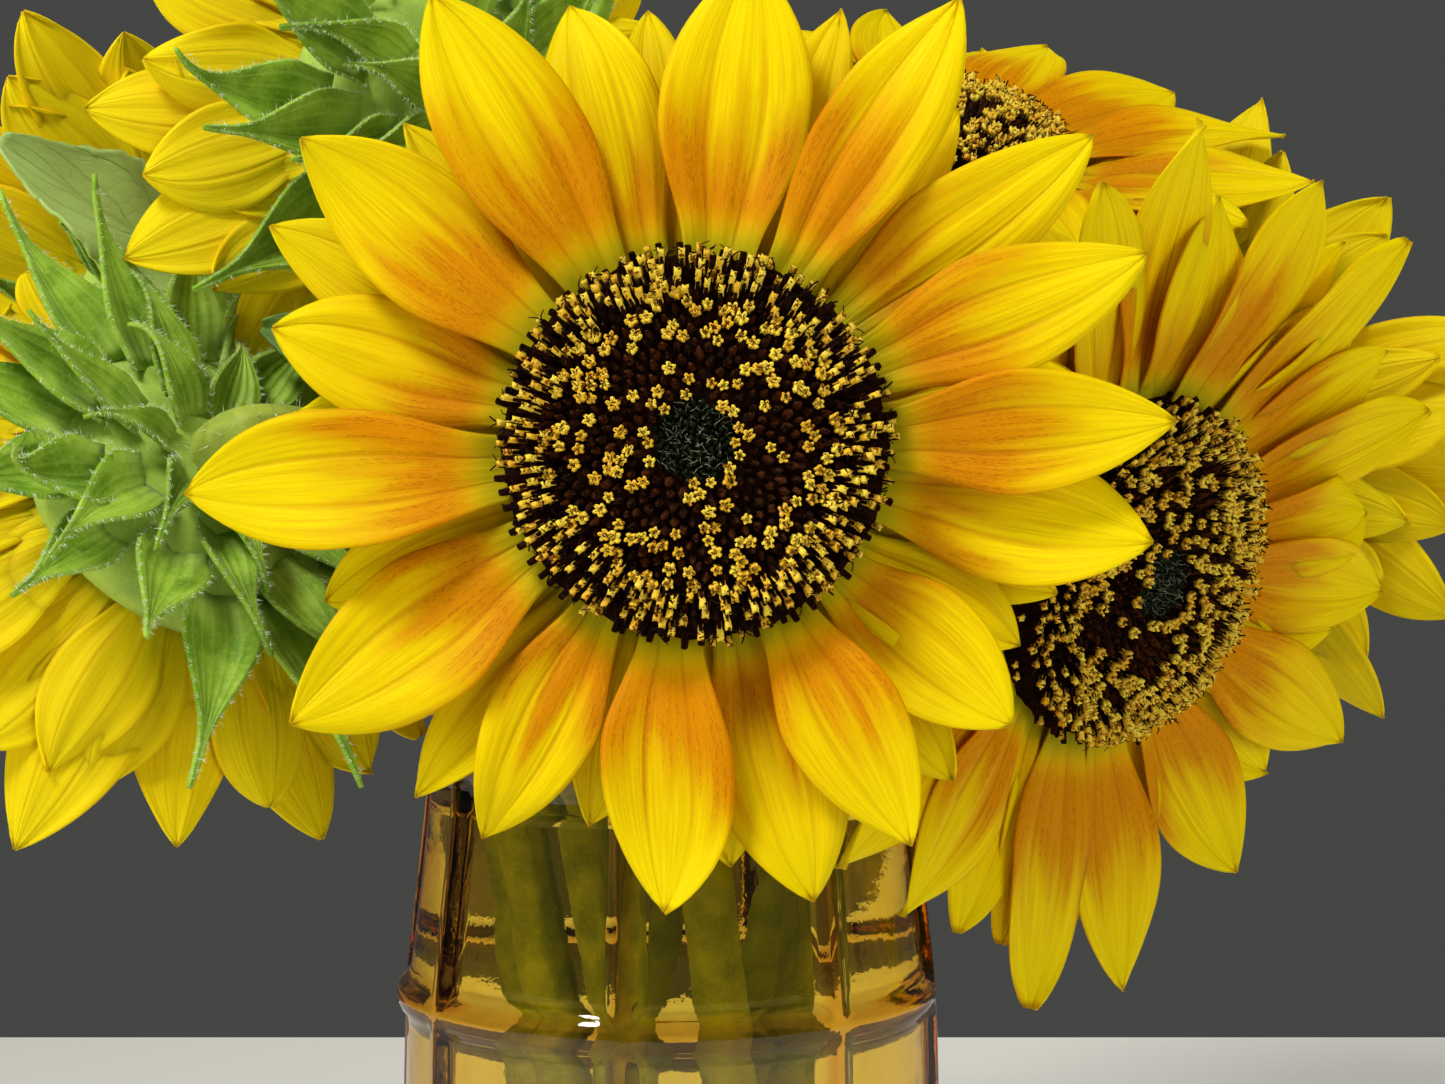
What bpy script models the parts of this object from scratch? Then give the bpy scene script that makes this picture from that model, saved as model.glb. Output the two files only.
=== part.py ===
"""A bunch of seven cut sunflowers standing in a pressed-glass vase of water.

Metres, +Z up. The origin is the centre of the vase's base, on the table. +X is to the right of the
front flower as it is looked at, and the front flower faces -Y.

Every flower head is modelled in its own frame: the head's centre is the origin, +z is the way that it
faces, +x is level and to the viewer's right, and angles turn from +x towards +y.
"""
import math
from collections import namedtuple

import bmesh
import bpy
from mathutils import Matrix, Vector
from mathutils.bvhtree import BVHTree

GAP = 0.0005               # clearance between neighbouring pieces

# Vase: radius of the glass between its raised bars, by height
VASE_HEIGHT = 0.147
VASE_FLOOR = 0.007
VASE_WALL = 0.0034
VASE_PROFILE = ((0.0, 0.0385), (0.004, 0.0425), (0.018, 0.0446), (0.060, 0.0452),
                (0.080, 0.0448), (0.108, 0.0416), (0.129, 0.0396), (0.141, 0.0392), (0.147, 0.0400))
BAR_COUNT = 8              # upright bars, evenly spaced
BAR_FIRST = -97.4          # direction of the first bar, degrees from +X
BAR_WIDTH = 0.0050
BAR_HEIGHT = 0.0012
BAR_REACH = (0.010, 0.139) # lowest and highest place of the upright bars
RING_HEIGHTS = (0.040, 0.080, 0.120)
RING_WIDTH = 0.0070
BAR_SLOPE = 0.0008         # width of a bar's sloping side
BELLY = VASE_PROFILE[3][1] # radius at the widest place
PLAIN_LEVELS = (0.0, 0.004, 0.018, 0.060, 0.100, 0.137)
LIP_LEVELS = (0.141, VASE_HEIGHT)
LIP_SHARE = 0.5            # the lip stands out by this share of a bar's height
BORE_LEVELS = (0.016, 0.050, 0.080, 0.104)
CORNER = 0.004             # how much narrower the bore is at its floor

WATER_LEVEL = 0.112
WATER_CLEARANCE = 0.0009   # between the water and the glass, both of them many-sided
WATER_SIDES = 24
CUTTER_OVER = 0.006        # how far a stem's cutter runs past the stretch that it cuts

STEM_RADIUS = 0.0037
STEM_SIDES = 8
NECK_LENGTH = 0.004        # straight stretch of stem behind the head
MOUTH_RADIUS = 0.0265      # the stems stand on this circle at the vase's mouth
FOOT_RADIUS = 0.0150       # and on this circle just above its floor
STEM_TWIST = 62.0          # degrees that a stem turns round the axis on its way down
STEM_FOOT = 0.003          # height of a stem's cut end above the vase's floor
STEM_STEPS = 9             # pieces of the stem's bend between the head and the mouth
IN_VASE = (0.0, 0.2, 0.5, 0.8, 1.0)  # shares of the way from the mouth to the foot
OFF_AXIS = Vector((0.31, 0.52, 0.79))  # a direction that no stem runs in, to start a ring of points from

DISC_SEGMENTS = 16
DISC_BACK = 0.0040         # depth of the disc behind the head's centre plane
DISC_DOME = ((0.96, -DISC_BACK), (1.0, -0.001), (0.86, 0.0035), (0.58, 0.0062), (0.24, 0.0068))
RECEPTACLE_DEPTH = 0.0055  # from the plane of the bracts to the back of the green receptacle
PETAL_THICKNESS = 0.0008
LEAF_THICKNESS = 0.0012
BRACT_THICKNESS = 0.0011
BRACTS = 9
BRACT_TIP = 1.30           # reach of a bract, its shoulder and its half width, as shares of the disc's radius
BRACT_SHOULDER = 1.16
BRACT_HALF_WIDTH = 0.20
BRACT_DROP = 0.0030        # a bract's tip bends back by this much
CREASE = 0.0006            # depth of the crease along the middle of a ring's ray

# A flower head: its centre, the way that it faces, the radius of its disc, the length of its rays from
# the centre, how many rays its ring has (none where they are separate), how far the ring is cupped,
# the direction of its stem at the vase's mouth in degrees, and how strongly the stem keeps its direction
# at the head and at the mouth.
Head = namedtuple("Head", "centre facing disc_radius ray_length rays cup stem_turn neck_pull mouth_pull")
HEADS = {
    "front_flower": Head((0.0056, -0.0630, 0.170), (0.0, -1.0, 0.02), 0.0285, 0.068, 0, 0.0, 275, 0.030, 0.035),
    "right_flower": Head((0.0780, -0.0140, 0.152), (0.64, -0.71, -0.29), 0.0300, 0.074, 14, 0.20, 338, 0.040,
                         0.060),
    "upper_right_flower": Head((0.0480, 0.0300, 0.233), (0.10, -0.50, 0.86), 0.0270, 0.068, 13, 0.15, 80, 0.030,
                               0.060),
    "back_flower": Head((0.1040, 0.0640, 0.180), (0.72, 0.62, 0.30), 0.0250, 0.066, 13, 0.30, 28, 0.040, 0.060),
    "lower_left_flower": Head((-0.0770, -0.0350, 0.162), (-0.60, 0.60, -0.50), 0.0250, 0.055, 13, 0.55, 190,
                              0.040, 0.060),
    "upper_left_flower": Head((-0.0380, -0.0200, 0.226), (-0.50, 0.80, 0.05), 0.0250, 0.053, 13, 0.30, 228,
                              0.040, 0.070),
    "far_left_flower": Head((-0.0900, 0.0300, 0.202), (-0.50, 0.70, 0.40), 0.0250, 0.060, 13, 0.30, 145, 0.040,
                            0.060),
}

# The front flower's rays: (direction in degrees, length from the head's centre, width, row)
FRONT_RAYS = (
    (2, 0.0676, 0.0165, 0), (24, 0.0690, 0.0170, 0), (40, 0.0735, 0.0160, 1), (61, 0.0740, 0.0150, 0),
    (72, 0.0680, 0.0120, 2), (83, 0.0700, 0.0200, 0), (96, 0.0690, 0.0110, 2), (107, 0.0700, 0.0170, 1),
    (120, 0.0740, 0.0190, 0), (144, 0.0707, 0.0180, 0), (154, 0.0730, 0.0150, 2), (165, 0.0640, 0.0175, 1),
    (187, 0.0725, 0.0185, 0), (201, 0.0600, 0.0140, 2), (213, 0.0687, 0.0200, 0), (233, 0.0650, 0.0130, 2),
    (240, 0.0640, 0.0150, 1), (263, 0.0655, 0.0170, 0), (273, 0.0610, 0.0120, 2), (285, 0.0671, 0.0185, 1),
    (298, 0.0640, 0.0160, 0), (308, 0.0625, 0.0130, 2), (318, 0.0600, 0.0165, 1), (327, 0.0570, 0.0130, 2),
    (347, 0.0668, 0.0180, 1),
)
ROW_STEP = 0.0030          # each row of rays lies this far behind the row in front
FRONT_BASE = -0.0006       # height of the front row's feet
RAY_CREASE = 0.0011
# A separate ray, from its foot to its tip: (share of its length, share of its width, share of its crease)
RAY_STATIONS = ((0.0, 0.36, 0.10), (0.30, 0.84, 0.45), (0.60, 1.0, 0.55), (0.86, 0.58, 0.40), (1.0, 0.06, 0.10))
FRONT_SHARES = (1.0, 0.94, 0.88, 0.8, 0.72)
FRONT_BENDS = (0.0, -0.05, 0.05, -0.10, 0.10, -0.16, 0.16, -0.24, 0.24, -0.34, -0.45)

# A ring of joined rays, and the lengths and bends that a ray tries until it clears its neighbours
RING_BASE = -0.0020        # height of the ring's inner edge
VALLEY_SHARE = 0.24        # the rays part this far out along their length
VALLEY_RISE = 0.0010
ARM_HALF_WIDTH = 0.0085
ARM_SHARES = (1.0, 0.9, 0.8, 0.7, 0.6, 0.5, 0.4, 0.3)
ARM_BENDS = (0.0, 0.15, -0.15, 0.30, -0.30, 0.45, -0.45, 0.65, -0.65, 0.85, -0.85)
PROBE_ABOVE = Vector((0.0, 0.0, 0.0008))   # room that a ray of a ring needs above and below its middle
PROBE_BELOW = Vector((0.0, 0.0, -0.0022))

# A leaf: the head whose stem it grows from, the share of the way down that stem, its middle, its tip, its
# width, and the direction that the blade's upper side faces.
Leaf = namedtuple("Leaf", "stem share middle tip width upper")
LEAVES = {
    "leaf_far_left": Leaf("far_left_flower", 0.28, (-0.084, -0.016, 0.203), (-0.106, -0.033, 0.221), 0.022,
                          (0.30, -0.85, 0.40)),
    "leaf_left": Leaf("far_left_flower", 0.21, (-0.078, -0.002, 0.188), (-0.098, -0.004, 0.194), 0.026,
                      (0.20, -0.90, 0.30)),
    "leaf_lower_left": Leaf("upper_left_flower", 0.50, (-0.045, -0.034, 0.180), (-0.064, -0.034, 0.186), 0.020,
                            (0.10, -0.95, 0.20)),
    "leaf_back": Leaf("far_left_flower", 0.50, (-0.030, 0.060, 0.178), (-0.044, 0.088, 0.160), 0.040,
                      (-0.10, 0.40, 0.90)),
    "leaf_right": Leaf("right_flower", 0.25, (0.056, -0.002, 0.184), (0.070, -0.010, 0.196), 0.020,
                       (-0.20, -0.85, 0.40)),
    "leaf_back_right": Leaf("upper_right_flower", 0.50, (0.046, 0.066, 0.160), (0.074, 0.084, 0.140), 0.038,
                            (0.30, 0.40, 0.85)),
}

# A leaf's outline, from the foot of its stalk to its tip: (share of its length, share of its width)
LEAF_STATIONS = ((0.0, 0.07), (0.16, 0.09), (0.26, 0.62), (0.44, 1.0), (0.66, 0.82), (0.86, 0.42), (1.0, 0.03))
LEAF_FOLD = 0.30           # how steeply the halves of a blade rise from its midrib
# sizes, shifts and rises that a leaf tries until it clears its neighbours
LEAF_SIZES = (1.0, 0.9, 0.8, 0.7, 0.6)
LEAF_SHIFTS = (0.0, 0.004, -0.004, 0.008, -0.008, 0.013, -0.013)
LEAF_RISES = (0.0, 0.005, -0.005, 0.010, -0.010)

# Finishes: name, colour and roughness
GLASS = ("amber_glass", (0.83, 0.50, 0.10), 0.05)
WATER = ("vase_water", (0.80, 0.85, 0.80), 0.02)
STEM = ("stem_green", (0.30, 0.42, 0.12), 0.55)
BRACT = ("bract_green", (0.25, 0.45, 0.12), 0.60)
LEAF = ("leaf_green", (0.16, 0.33, 0.08), 0.60)
RAY = ("ray_yellow", (0.95, 0.70, 0.02), 0.55)
DISC = ("disc_brown", (0.09, 0.05, 0.02), 0.85)

placed = {}                # search trees of the pieces already in place, by name


def clear_scene():
    for item in list(bpy.data.objects):
        bpy.data.objects.remove(item, do_unlink=True)


def material(finish):
    name, colour, roughness = finish
    made = bpy.data.materials.get(name)
    if made is None:
        made = bpy.data.materials.new(name)
        made.use_nodes = True
        shader = made.node_tree.nodes["Principled BSDF"]
        shader.inputs["Base Color"].default_value = (*colour, 1.0)
        shader.inputs["Roughness"].default_value = roughness
        shader.inputs["Metallic"].default_value = 0.0
    return made


def tree_of(bm):
    bm.verts.ensure_lookup_table()
    points = [v.co.copy() for v in bm.verts]
    faces = [[v.index for v in f.verts] for f in bm.faces]
    return BVHTree.FromPolygons(points, faces)


def touched(bm):
    """Names of the placed pieces that a bmesh cuts."""
    bm.verts.index_update()
    tree = tree_of(bm)
    return [name for name, other in placed.items() if tree.overlap(other)]


def report(name, bm):
    """Says what a piece cuts, so that its place can be mended."""
    for other in touched(bm):
        print(name, "touches", other)


def add_piece(name, bm, finish, smooth=35.0, blocks=True):
    """Makes a bmesh, already in world space, one of the object's pieces."""
    bm.verts.index_update()
    bmesh.ops.recalc_face_normals(bm, faces=bm.faces)
    if blocks:
        placed[name] = tree_of(bm)
    mesh = bpy.data.meshes.new(name)
    bm.to_mesh(mesh)
    bm.free()
    mesh.materials.append(material(finish))
    mesh.shade_smooth()
    mesh.set_sharp_from_angle(angle=math.radians(smooth))
    piece = bpy.data.objects.new(name, mesh)
    bpy.context.scene.collection.objects.link(piece)
    return piece


def along(table, height):
    """The value of a (height, value) table at a height."""
    for (low, first), (high, last) in zip(table, table[1:]):
        if height <= high:
            return first + (last - first) * (height - low) / (high - low)
    return table[-1][1]


def loft(bm, rings):
    """Joins rings of points into a tube and closes both ends."""
    loops = [[bm.verts.new(p) for p in ring] for ring in rings]
    count = len(loops[0])
    for lower, upper in zip(loops, loops[1:]):
        for i in range(count):
            j = (i + 1) % count
            bm.faces.new((lower[i], lower[j], upper[j], upper[i]))
    bm.faces.new(list(reversed(loops[0])))
    bm.faces.new(loops[-1])
    return loops


# ---------------------------------------------------------------- vase and water

def bar_directions():
    """Directions of the vase's columns of points, each with the share of a bar's height that it has."""
    half = math.degrees(BAR_WIDTH / 2 / BELLY)
    slope = math.degrees(BAR_SLOPE / BELLY)
    columns = []
    for bar in range(BAR_COUNT):
        centre = BAR_FIRST + bar * 360.0 / BAR_COUNT
        columns += [(centre - half - slope, 0.0), (centre - half, 1.0), (centre + half, 1.0),
                    (centre + half + slope, 0.0), (centre + 180.0 / BAR_COUNT, 0.0)]
    return columns


def ring_levels():
    """Heights of the vase's rings of points, each with the share of a bar's height that it has."""
    levels = [(height, 0.0) for height in PLAIN_LEVELS]
    for height in RING_HEIGHTS:
        for offset, share in ((-RING_WIDTH / 2 - BAR_SLOPE, 0.0), (-RING_WIDTH / 2, 1.0),
                              (RING_WIDTH / 2, 1.0), (RING_WIDTH / 2 + BAR_SLOPE, 0.0)):
            levels.append((height + offset, share))
    levels += [(height, LIP_SHARE) for height in LIP_LEVELS]
    return sorted(levels)


def vase():
    """The pressed glass: raised bars outside, a plain bore inside, and a solid floor."""
    bm = bmesh.new()
    columns = bar_directions()
    outside = []
    for height, ring_share in ring_levels():
        loop = []
        for direction, bar_share in columns:
            bar_share = bar_share if BAR_REACH[0] < height < BAR_REACH[1] else 0.0
            radius = along(VASE_PROFILE, height) + BAR_HEIGHT * max(ring_share, bar_share)
            turn = math.radians(direction)
            loop.append((radius * math.cos(turn), radius * math.sin(turn), height))
        outside.append(loop)
    inside = []
    for height in (VASE_HEIGHT, 0.125, *reversed(BORE_LEVELS), VASE_FLOOR):
        radius = along(VASE_PROFILE, height) - VASE_WALL
        radius -= CORNER if height == VASE_FLOOR else 0.0
        loop = []
        for direction, _ in columns:
            turn = math.radians(direction)
            loop.append((radius * math.cos(turn), radius * math.sin(turn), height))
        inside.append(loop)
    loft(bm, outside + inside)
    return add_piece("vase", bm, GLASS)


def water(stems):
    """The water fills the bore up to its level, with room for each stem."""
    bm = bmesh.new()
    bottom = VASE_FLOOR + GAP
    rings = []
    for height in (bottom, *BORE_LEVELS, WATER_LEVEL):
        radius = along(VASE_PROFILE, height) - VASE_WALL - WATER_CLEARANCE
        radius -= CORNER if height == bottom else 0.0
        loop = []
        for step in range(WATER_SIDES):
            turn = 2 * math.pi * step / WATER_SIDES
            loop.append((radius * math.cos(turn), radius * math.sin(turn), height))
        rings.append(loop)
    loft(bm, rings)
    body = add_piece("water", bm, WATER, blocks=False)
    for name, route in stems.items():
        cutter_bm = bmesh.new()
        tube(cutter_bm, route[-len(IN_VASE):], STEM_RADIUS + GAP, over=CUTTER_OVER)
        cutter = add_piece("room_for_" + name, cutter_bm, STEM, blocks=False)
        cutter.hide_render = True
        cutter.display_type = "WIRE"
        cut = body.modifiers.new("room_for_" + name, "BOOLEAN")
        cut.operation = "DIFFERENCE"
        cut.solver = "EXACT"
        cut.object = cutter
    return body


# ---------------------------------------------------------------- stems

def bract_plane(head):
    """Height of a head's bracts in its own frame: behind one row of joined rays, or three rows."""
    rows = 1 if head.rays else 3
    return -DISC_BACK - rows * ROW_STEP - 2 * BRACT_THICKNESS


def head_matrix(head):
    """The head's own frame in world space."""
    centre, facing = Vector(head.centre), Vector(head.facing).normalized()
    level = Vector((0.0, 0.0, 1.0)).cross(facing).normalized()
    upright = facing.cross(level)
    turn = Matrix((level, upright, facing)).transposed().to_4x4()
    return Matrix.Translation(centre) @ turn


def stem_route(head):
    """Points from the head's back, over the vase's rim, down to its floor."""
    place = head_matrix(head)
    facing = Vector(head.facing).normalized()
    mouth_turn = math.radians(head.stem_turn)
    foot_turn = math.radians(head.stem_turn + STEM_TWIST)
    top = place @ Vector((0.0, 0.0, bract_plane(head) - RECEPTACLE_DEPTH - GAP))
    neck = top - facing * NECK_LENGTH
    mouth = Vector((MOUTH_RADIUS * math.cos(mouth_turn), MOUTH_RADIUS * math.sin(mouth_turn), VASE_HEIGHT))
    cut_end = VASE_FLOOR + STEM_FOOT
    foot = Vector((FOOT_RADIUS * math.cos(foot_turn), FOOT_RADIUS * math.sin(foot_turn), cut_end))
    down = (foot - mouth).normalized()
    start, end = -facing * head.neck_pull, down * head.mouth_pull
    points = [top]
    for step in range(STEM_STEPS):
        t = step / STEM_STEPS
        points.append(neck * (2 * t ** 3 - 3 * t ** 2 + 1) + start * (t ** 3 - 2 * t ** 2 + t)
                      + mouth * (3 * t ** 2 - 2 * t ** 3) + end * (t ** 3 - t ** 2))
    return points + [mouth.lerp(foot, share) for share in IN_VASE]


def tube(bm, route, radius, over=0.0):
    """A round tube along a route, made longer at both ends by over."""
    route = [p.copy() for p in route]
    route[0] += (route[0] - route[1]).normalized() * over
    route[-1] += (route[-1] - route[-2]).normalized() * over
    side = OFF_AXIS.cross(route[1] - route[0]).normalized()
    rings = []
    for i, point in enumerate(route):
        before, after = route[max(i - 1, 0)], route[min(i + 1, len(route) - 1)]
        way = (after - before).normalized()
        side = (side - way * side.dot(way)).normalized()
        other = way.cross(side)
        ring = []
        for step in range(STEM_SIDES):
            turn = 2 * math.pi * step / STEM_SIDES
            ring.append(point + (side * math.cos(turn) + other * math.sin(turn)) * radius)
        rings.append(ring)
    loft(bm, rings)


# ---------------------------------------------------------------- heads

def disc(name, head):
    """The domed disc of florets."""
    bm = bmesh.new()
    radius = head.disc_radius
    rings = []
    for share, height in DISC_DOME:
        ring = []
        for step in range(DISC_SEGMENTS):
            turn = 2 * math.pi * step / DISC_SEGMENTS
            ring.append((radius * share * math.cos(turn), radius * share * math.sin(turn), height))
        rings.append(ring)
    loft(bm, rings)
    bm.transform(head_matrix(head))
    return add_piece(name + "_disc", bm, DISC)


def star(bm, count, circles, arms, start=0.0):
    """A closed star: circles of (radius, top height, bottom height), then an arm between neighbours.

    The innermost circle is an open bore where its radius is over zero. Each arm is
    (radius of its shoulder, half width there, height there, radius of its tip, height there), and
    the arm's thickness is the outermost circle's.
    """
    step = math.pi / count
    thickness = circles[-1][1] - circles[-1][2]
    sheets = ([], [])
    for radius, top, bottom in circles:
        for sheet, height in zip(sheets, (top, bottom)):
            if radius == 0.0:
                sheet.append([bm.verts.new((0.0, 0.0, height))])
                continue
            loop = []
            for column in range(2 * count):
                turn = start + (column - 1) * step
                loop.append(bm.verts.new((radius * math.cos(turn), radius * math.sin(turn), height)))
            sheet.append(loop)
    for sheet in sheets:
        for inner, outer in zip(sheet, sheet[1:]):
            for column in range(2 * count):
                after = (column + 1) % (2 * count)
                if len(inner) == 1:
                    bm.faces.new((inner[0], outer[column], outer[after]))
                else:
                    bm.faces.new((inner[column], outer[column], outer[after], inner[after]))
    if circles[0][0] > 0.0:
        join_edges(bm, sheets[0][0], sheets[1][0], closed=True)
    for arm, (shoulder, half, shoulder_height, tip, tip_height) in enumerate(arms):
        turn = start + 2 * arm * step
        out = Vector((math.cos(turn), math.sin(turn), 0.0))
        side = Vector((-math.sin(turn), math.cos(turn), 0.0))
        outlines = []
        for sheet, drop in zip(sheets, (0.0, thickness)):
            valley = [sheet[-1][2 * arm], sheet[-1][2 * arm + 1], sheet[-1][(2 * arm + 2) % (2 * count)]]
            row = []
            for share in (-1.0, 0.0, 1.0):
                lift = 0.0 if share else CREASE
                place = out * shoulder + side * half * share + Vector((0.0, 0.0, shoulder_height - drop - lift))
                row.append(bm.verts.new(place))
            point = bm.verts.new(out * tip + Vector((0.0, 0.0, tip_height - drop)))
            bm.faces.new((valley[0], row[0], row[1], valley[1]))
            bm.faces.new((valley[1], row[1], row[2], valley[2]))
            bm.faces.new((row[0], point, row[1]))
            bm.faces.new((row[1], point, row[2]))
            outlines.append([valley[0], row[0], point, row[2], valley[2]])
        join_edges(bm, outlines[0], outlines[1])


def join_edges(bm, first, second, closed=False):
    """Walls between two matching rows of points."""
    last = len(first) if closed else len(first) - 1
    for i in range(last):
        j = (i + 1) % len(first)
        bm.faces.new((first[i], first[j], second[j], second[i]))


def involucre(name, head):
    """The green receptacle behind the disc, with its pointed bracts in one piece."""
    bm = bmesh.new()
    radius = head.disc_radius
    front = bract_plane(head)
    back = front - RECEPTACLE_DEPTH
    circles = ((0.0, -DISC_BACK - GAP, back), (radius * 0.40, -DISC_BACK - GAP, back),
               (radius * 0.90, -DISC_BACK - GAP, front - RECEPTACLE_DEPTH / 2),
               (radius * 0.93, front, front - BRACT_THICKNESS))
    arms = []
    for arm in range(BRACTS):
        tip = radius * (BRACT_TIP + 0.06 * math.sin(2.4 * arm))
        arms.append((radius * BRACT_SHOULDER, radius * BRACT_HALF_WIDTH, front - BRACT_DROP / 3, tip,
                     front - BRACT_DROP))
    star(bm, BRACTS, circles, arms, start=0.2)
    bm.transform(head_matrix(head))
    report(name + "_involucre", bm)
    return add_piece(name + "_involucre", bm, BRACT)


def ray_ring(name, head):
    """All the rays of a head in one piece. Each bends and shortens until it clears what is there."""
    radius, length, count = head.disc_radius, head.ray_length, head.rays
    inner, valley = radius + 2 * GAP, radius + VALLEY_SHARE * (length - radius)
    circles = ((inner, RING_BASE, RING_BASE - 2 * PETAL_THICKNESS),
               (valley, RING_BASE + VALLEY_RISE, RING_BASE + VALLEY_RISE - PETAL_THICKNESS))
    arms = []
    for arm in range(count):
        reach = length * (1.0 + 0.05 * math.sin(2.1 * arm + length * 400))
        arms.append(clear_arm(head, arm, count, circles, reach, valley))
    bm = bmesh.new()
    star(bm, count, circles, arms)
    bm.transform(head_matrix(head))
    return add_piece(name + "_rays", bm, RAY)


def clear_arm(head, arm, count, circles, reach, valley):
    """The first of a ray's possible bends and lengths that touches no other piece."""
    for share in ARM_SHARES:
        for more in ARM_BENDS:
            bend = head.cup + more
            tip = valley + (reach - valley) * share
            shoulder = valley + (tip - valley) * 0.45
            half = ARM_HALF_WIDTH * (0.7 + 0.3 * share)
            rise = circles[-1][1] + bend * (shoulder - valley)
            tip_rise = rise + bend * 1.2 * (tip - shoulder)
            option = (shoulder, half, rise, tip, tip_rise)
            probe = bmesh.new()
            probe_arm(probe, arm, count, circles, option)
            probe.transform(head_matrix(head))
            held = touched(probe)
            probe.free()
            if not held:
                return option
    print("no clear place for ray", arm, "at", tuple(head.centre), held)
    return option


def probe_arm(bm, arm, count, circles, option):
    """A fatter copy of one ray, used only to test for room."""
    shoulder, half, rise, tip, tip_rise = option
    turn = 2 * arm * math.pi / count
    spread = circles[-1][0] * math.sin(math.pi / count)
    out = Vector((math.cos(turn), math.sin(turn), 0.0))
    side = Vector((-math.sin(turn), math.cos(turn), 0.0))
    rings = []
    for radius, width, height in ((circles[-1][0] * 0.97, spread, circles[-1][1]),
                                  (shoulder, half + GAP, rise), (tip + GAP, GAP, tip_rise)):
        middle = out * radius + Vector((0.0, 0.0, height))
        rings.append([middle - side * width + PROBE_ABOVE, middle + side * width + PROBE_ABOVE,
                      middle + side * width + PROBE_BELOW, middle - side * width + PROBE_BELOW])
    loft(bm, rings)


def ray(bm, head, direction, length, width, row, bend, thickness=PETAL_THICKNESS):
    """One separate ray: a thin blade, creased along its middle, narrow at its base, pointed."""
    inner = head.disc_radius + 2 * GAP
    base = FRONT_BASE - row * ROW_STEP
    turn = math.radians(direction)
    out = Vector((math.cos(turn), math.sin(turn), 0.0))
    side = Vector((-math.sin(turn), math.cos(turn), 0.0))
    rings = []
    for share, spread, crease in RAY_STATIONS:
        radius = inner + (length - inner) * share
        height = base + bend * (length - inner) * share * share
        half = width / 2 * spread
        middle = out * radius + Vector((0.0, 0.0, height))
        up = Vector((0.0, 0.0, thickness / 2))
        fold = Vector((0.0, 0.0, -RAY_CREASE * crease))
        rings.append([middle - side * half + up, middle + fold + up, middle + side * half + up,
                      middle + side * half - up, middle + fold - up, middle - side * half - up])
    loft(bm, rings)
    bm.transform(head_matrix(head))


def clear_ray(head, direction, length, width, row):
    """The first of a separate ray's possible lengths and bends that touches no other piece."""
    for share in FRONT_SHARES:
        for bend in FRONT_BENDS:
            probe = bmesh.new()
            ray(probe, head, direction, length * share, width, row, bend, PETAL_THICKNESS + GAP)
            held = touched(probe)
            probe.free()
            if not held:
                return length * share, bend
    print("no clear place for the ray at", direction, held)
    return length, 0.0


def front_rays(name, head):
    """The front flower's rays, each in its own place: the front row first, then the rows behind it."""
    order = sorted(range(len(FRONT_RAYS)), key=lambda i: (FRONT_RAYS[i][3], i))
    for index in order:
        direction, length, width, row = FRONT_RAYS[index]
        clear_length, bend = clear_ray(head, direction, length, width, row)
        bm = bmesh.new()
        ray(bm, head, direction, clear_length, width, row, bend)
        add_piece(f"{name}_ray_{index + 1:02d}", bm, RAY)


# ---------------------------------------------------------------- leaves

def leaf(bm, base, middle, tip, width, upper):
    """A leaf with its stalk in one piece, arched from its base through its middle to its tip."""
    control = middle * 2 - (base + tip) / 2
    rings = []
    for share, spread in LEAF_STATIONS:
        point = base * (1 - share) ** 2 + control * 2 * share * (1 - share) + tip * share ** 2
        way = ((control - base) * (1 - share) + (tip - control) * share).normalized()
        side = way.cross(upper).normalized()
        normal = side.cross(way)
        half = width / 2 * spread
        up = normal * LEAF_THICKNESS / 2
        fold = normal * half * LEAF_FOLD
        rings.append([point - side * half + up + fold, point + up, point + side * half + up + fold,
                      point + side * half - up + fold, point - up, point - side * half - up + fold])
    loft(bm, rings)


def leaf_options(base, grown):
    """The middles, tips and widths that a leaf can have, the likeliest first."""
    middle, tip, upper = Vector(grown.middle), Vector(grown.tip), Vector(grown.upper).normalized()
    for size in LEAF_SIZES:
        for shift in LEAF_SHIFTS:
            for rise in LEAF_RISES:
                move = upper * shift + Vector((0.0, 0.0, rise))
                yield base.lerp(middle + move, size), base.lerp(tip + move, size), grown.width * size, upper


def grow_leaf(name, grown, route):
    """Grows a leaf from a stem, moved or made smaller until it clears its neighbours."""
    place = round(grown.share * (len(route) - 1))
    root, along_stem = route[place], (route[place + 1] - route[place - 1]).normalized()
    way = Vector(grown.middle) - root
    away = (way - along_stem * way.dot(along_stem)).normalized()
    base = root + away * (STEM_RADIUS + 2 * GAP)
    for option in leaf_options(base, grown):
        bm = bmesh.new()
        leaf(bm, base, *option)
        held = touched(bm)
        if not held:
            return add_piece(name, bm, LEAF)
        bm.free()
    print("no clear place for", name, held)
    return None


def main():
    clear_scene()
    vase()
    routes = {name + "_stem": stem_route(head) for name, head in HEADS.items()}
    for name, route in routes.items():
        bm = bmesh.new()
        tube(bm, route, STEM_RADIUS)
        report(name, bm)
        add_piece(name, bm, STEM)
    water(routes)
    for name, head in HEADS.items():
        disc(name, head)
        involucre(name, head)
    front_rays("front_flower", HEADS["front_flower"])
    for name, grown in LEAVES.items():
        grow_leaf(name, grown, routes[grown.stem + "_stem"])
    for name, head in HEADS.items():
        if head.rays:
            ray_ring(name, head)


main()
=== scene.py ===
# %% [markdown]
# # A bunch of sunflowers in a pressed-glass vase
# Seven cut sunflowers stand in water in an amber glass vase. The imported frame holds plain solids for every
# piece. This lesson gives each of them its fine surface: ribbed rays, a disc of hundreds of florets, hairy
# bracts and stems, veined leaves, and glass with raised bars. It starts by loading the frame.
# %% Load the frame
import math
import random

import bmesh
import bpy
import numpy as np
from mathutils import Matrix, Vector
from mathutils.bvhtree import BVHTree


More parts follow.
